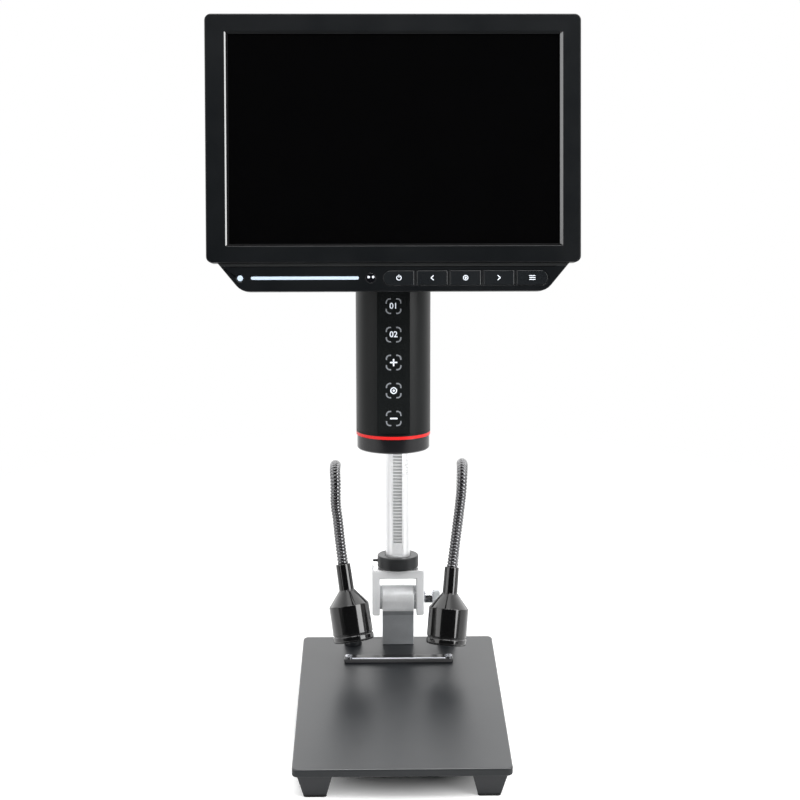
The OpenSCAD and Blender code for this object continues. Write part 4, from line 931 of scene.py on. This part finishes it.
for hand, route in routes.items():
    line = bpy.data.curves.new(hand + "_route", "CURVE")
    line.dimensions = "3D"
    line.resolution_u = 12
    spline = line.splines.new("BEZIER")
    spline.bezier_points.add(len(route) - 1)
    for point, (x, y, z) in zip(spline.bezier_points, route):
        point.co = (x * mm, (y + socket_y) * mm, (z + plate_top) * mm)
        point.handle_left_type = point.handle_right_type = "AUTO"
    path = bpy.data.objects.new(hand + "_route", line)
    bpy.context.scene.collection.objects.link(path)
    bpy.ops.object.select_all(action="DESELECT")
    bpy.ops.mesh.primitive_cylinder_add(vertices=20, radius=4.0 * mm, depth=bead_pitch * mm,
                                        end_fill_type="NOTHING",
                                        location=(bead_pitch / 2 * mm, 0, 0),
                                        rotation=(0, math.radians(90), 0))
    tube = bpy.context.object
    tube.name = hand + "_gooseneck"
    fix_place()
    open_up()
    bpy.ops.mesh.subdivide(number_cuts=1)
    close_up()
    bm = bmesh.new()
    bm.from_mesh(tube.data)
    lengthwise = [e for e in bm.edges if abs(e.verts[0].co.x - e.verts[1].co.x) > 0.001]
    bmesh.ops.subdivide_edges(bm, edges=lengthwise, cuts=7)
    for v in bm.verts:
        phase = v.co.x / (bead_pitch * mm)
        swell = math.sin(math.pi * phase) ** 0.5 if 0 < phase < 1 else 0.0
        radius = (bead_waist + bead_swell * swell) * mm
        length = math.hypot(v.co.y, v.co.z)
        v.co.y *= radius / length
        v.co.z *= radius / length
    bm.to_mesh(tube.data)
    bm.free()
    row = tube.modifiers.new("row", "ARRAY")
    row.fit_type = "FIT_CURVE"
    row.curve = path
    row.use_merge_vertices = True
    row.merge_threshold = 1e-5
    bend = tube.modifiers.new("bend", "CURVE")
    bend.object = path
    bend.deform_axis = "POS_X"
    take_modifiers(tube)
    open_up()
    bpy.ops.mesh.fill_holes(sides=24)
    bpy.ops.mesh.normals_make_consistent(inside=False)
    close_up()
    bpy.data.objects.remove(path)
    settle(tube, None, "neck_gloss", gooseneck_gloss)
    bpy.ops.object.shade_smooth()
    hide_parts(hand + "_riser", hand + "_drop")
    crown_x = route[crown_point][0] * mm
    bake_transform(tube, hand + "_riser", hand + "_drop",
             start=(crown_x, 0.0885, 0.174), end=(crown_x, 0.0735, 0.1751))


# Lamps: a turned aluminium head in glossy black on each gooseneck, with a long neck, a cone, a ring
# screwed over the end and a clear lens in front of the light-emitting disc.
lamp_gloss = finish_of("lamp_gloss", (0.003, 0.003, 0.0032), (0.09, 0.14), tone=0.1,
                       grain=0.0008, bump=0.015, sheen=0.42, coat=0.65)
lamp_clear = clear_finish("lamp_clear", (0.96, 0.97, 0.98), rough=0.03, through=0.92)
led_cream = finish_of("led_cream", (0.75, 0.73, 0.62), (0.4, 0.5), tone=0.06, patch=0.004,
                      bump=0.04)


def turned(name, outline, place, steps=72):
    """Spins an outline of (radius, height) points, in mm, about its own upright axis."""
    bpy.ops.object.select_all(action="DESELECT")
    bpy.ops.mesh.primitive_plane_add(size=mm)
    piece = bpy.context.object
    piece.name = name
    bpy.ops.object.mode_set(mode="EDIT")
    bpy.ops.mesh.select_mode(type="VERT")
    bpy.ops.mesh.select_all(action="SELECT")
    bpy.ops.mesh.merge(type="CENTER")
    bpy.ops.transform.translate(value=(outline[0][0] * mm, 0, outline[0][1] * mm))
    for (r0, z0), (r1, z1) in zip(outline, outline[1:]):
        bpy.ops.mesh.extrude_region_move(
            TRANSFORM_OT_translate={"value": ((r1 - r0) * mm, 0, (z1 - z0) * mm)})
    bpy.ops.mesh.select_all(action="SELECT")
    bpy.ops.mesh.spin(steps=steps, angle=math.tau, center=(0, 0, 0), axis=(0, 0, 1))
    bpy.ops.mesh.select_all(action="SELECT")
    bpy.ops.mesh.remove_doubles(threshold=1e-6)
    bpy.ops.mesh.normals_make_consistent(inside=False)
    close_up()
    piece.matrix_world = place
    return piece


cone_end, head_length, ring_length = -31, 22.5, 4.8
lamp_low = cone_end - head_length
ring_low = lamp_low - ring_length
head_outline = [
    (0, 0), (3.9, 0), (4.3, -0.15), (5.2, -0.15), (5.45, -0.6), (5.45, -1.3), (5.7, -20),
    (6.4, -20.15), (6.4, -20.6), (15, -31.2), (15, lamp_low + 1.1), (14.4, lamp_low + 0.7),
    (14.4, lamp_low), (13, lamp_low), (13, -37), (0, -37)]
ring_outline = [
    (13, lamp_low), (14.6, lamp_low), (15.2, lamp_low - 0.7), (15.2, ring_low + 1.2),
    (14.7, ring_low), (13, ring_low), (13, lamp_low)]
lens_outline = [
    (0, ring_low - 0.35), (13.2, ring_low - 0.35), (13.8, ring_low), (13, ring_low + 0.8),
    (0, ring_low + 0.8)]
lamp_pitch = -21
for hand, roll in (("left", -8.8), ("right", 5.2)):
    x, y, z = routes[hand][-1]
    place = (Matrix.Translation((x * mm, (y + socket_y) * mm, (z + plate_top) * mm))
             @ Matrix.Rotation(math.radians(roll), 4, "Y")
             @ Matrix.Rotation(math.radians(lamp_pitch), 4, "X"))
    head = turned(hand + "_lamp_turned", head_outline, place)
    rounded(head, width=0.25, angle=14, segments=3)
    settle(head, hand + "_lamp", "lamp_gloss", lamp_gloss, hand + "_lamp_body")
    ring = turned(hand + "_ring_turned", ring_outline, place)
    rounded(ring, width=0.3, angle=14, segments=3)
    settle(ring, hand + "_lamp", "lamp_gloss", lamp_gloss, hand + "_lens_ring")
    lens = turned(hand + "_lens_turned", lens_outline, place)
    settle(lens, hand + "_lamp", "optic_glass", lamp_clear, hand + "_lamp_lens")
    repaint(hand + "_led", led_cream)
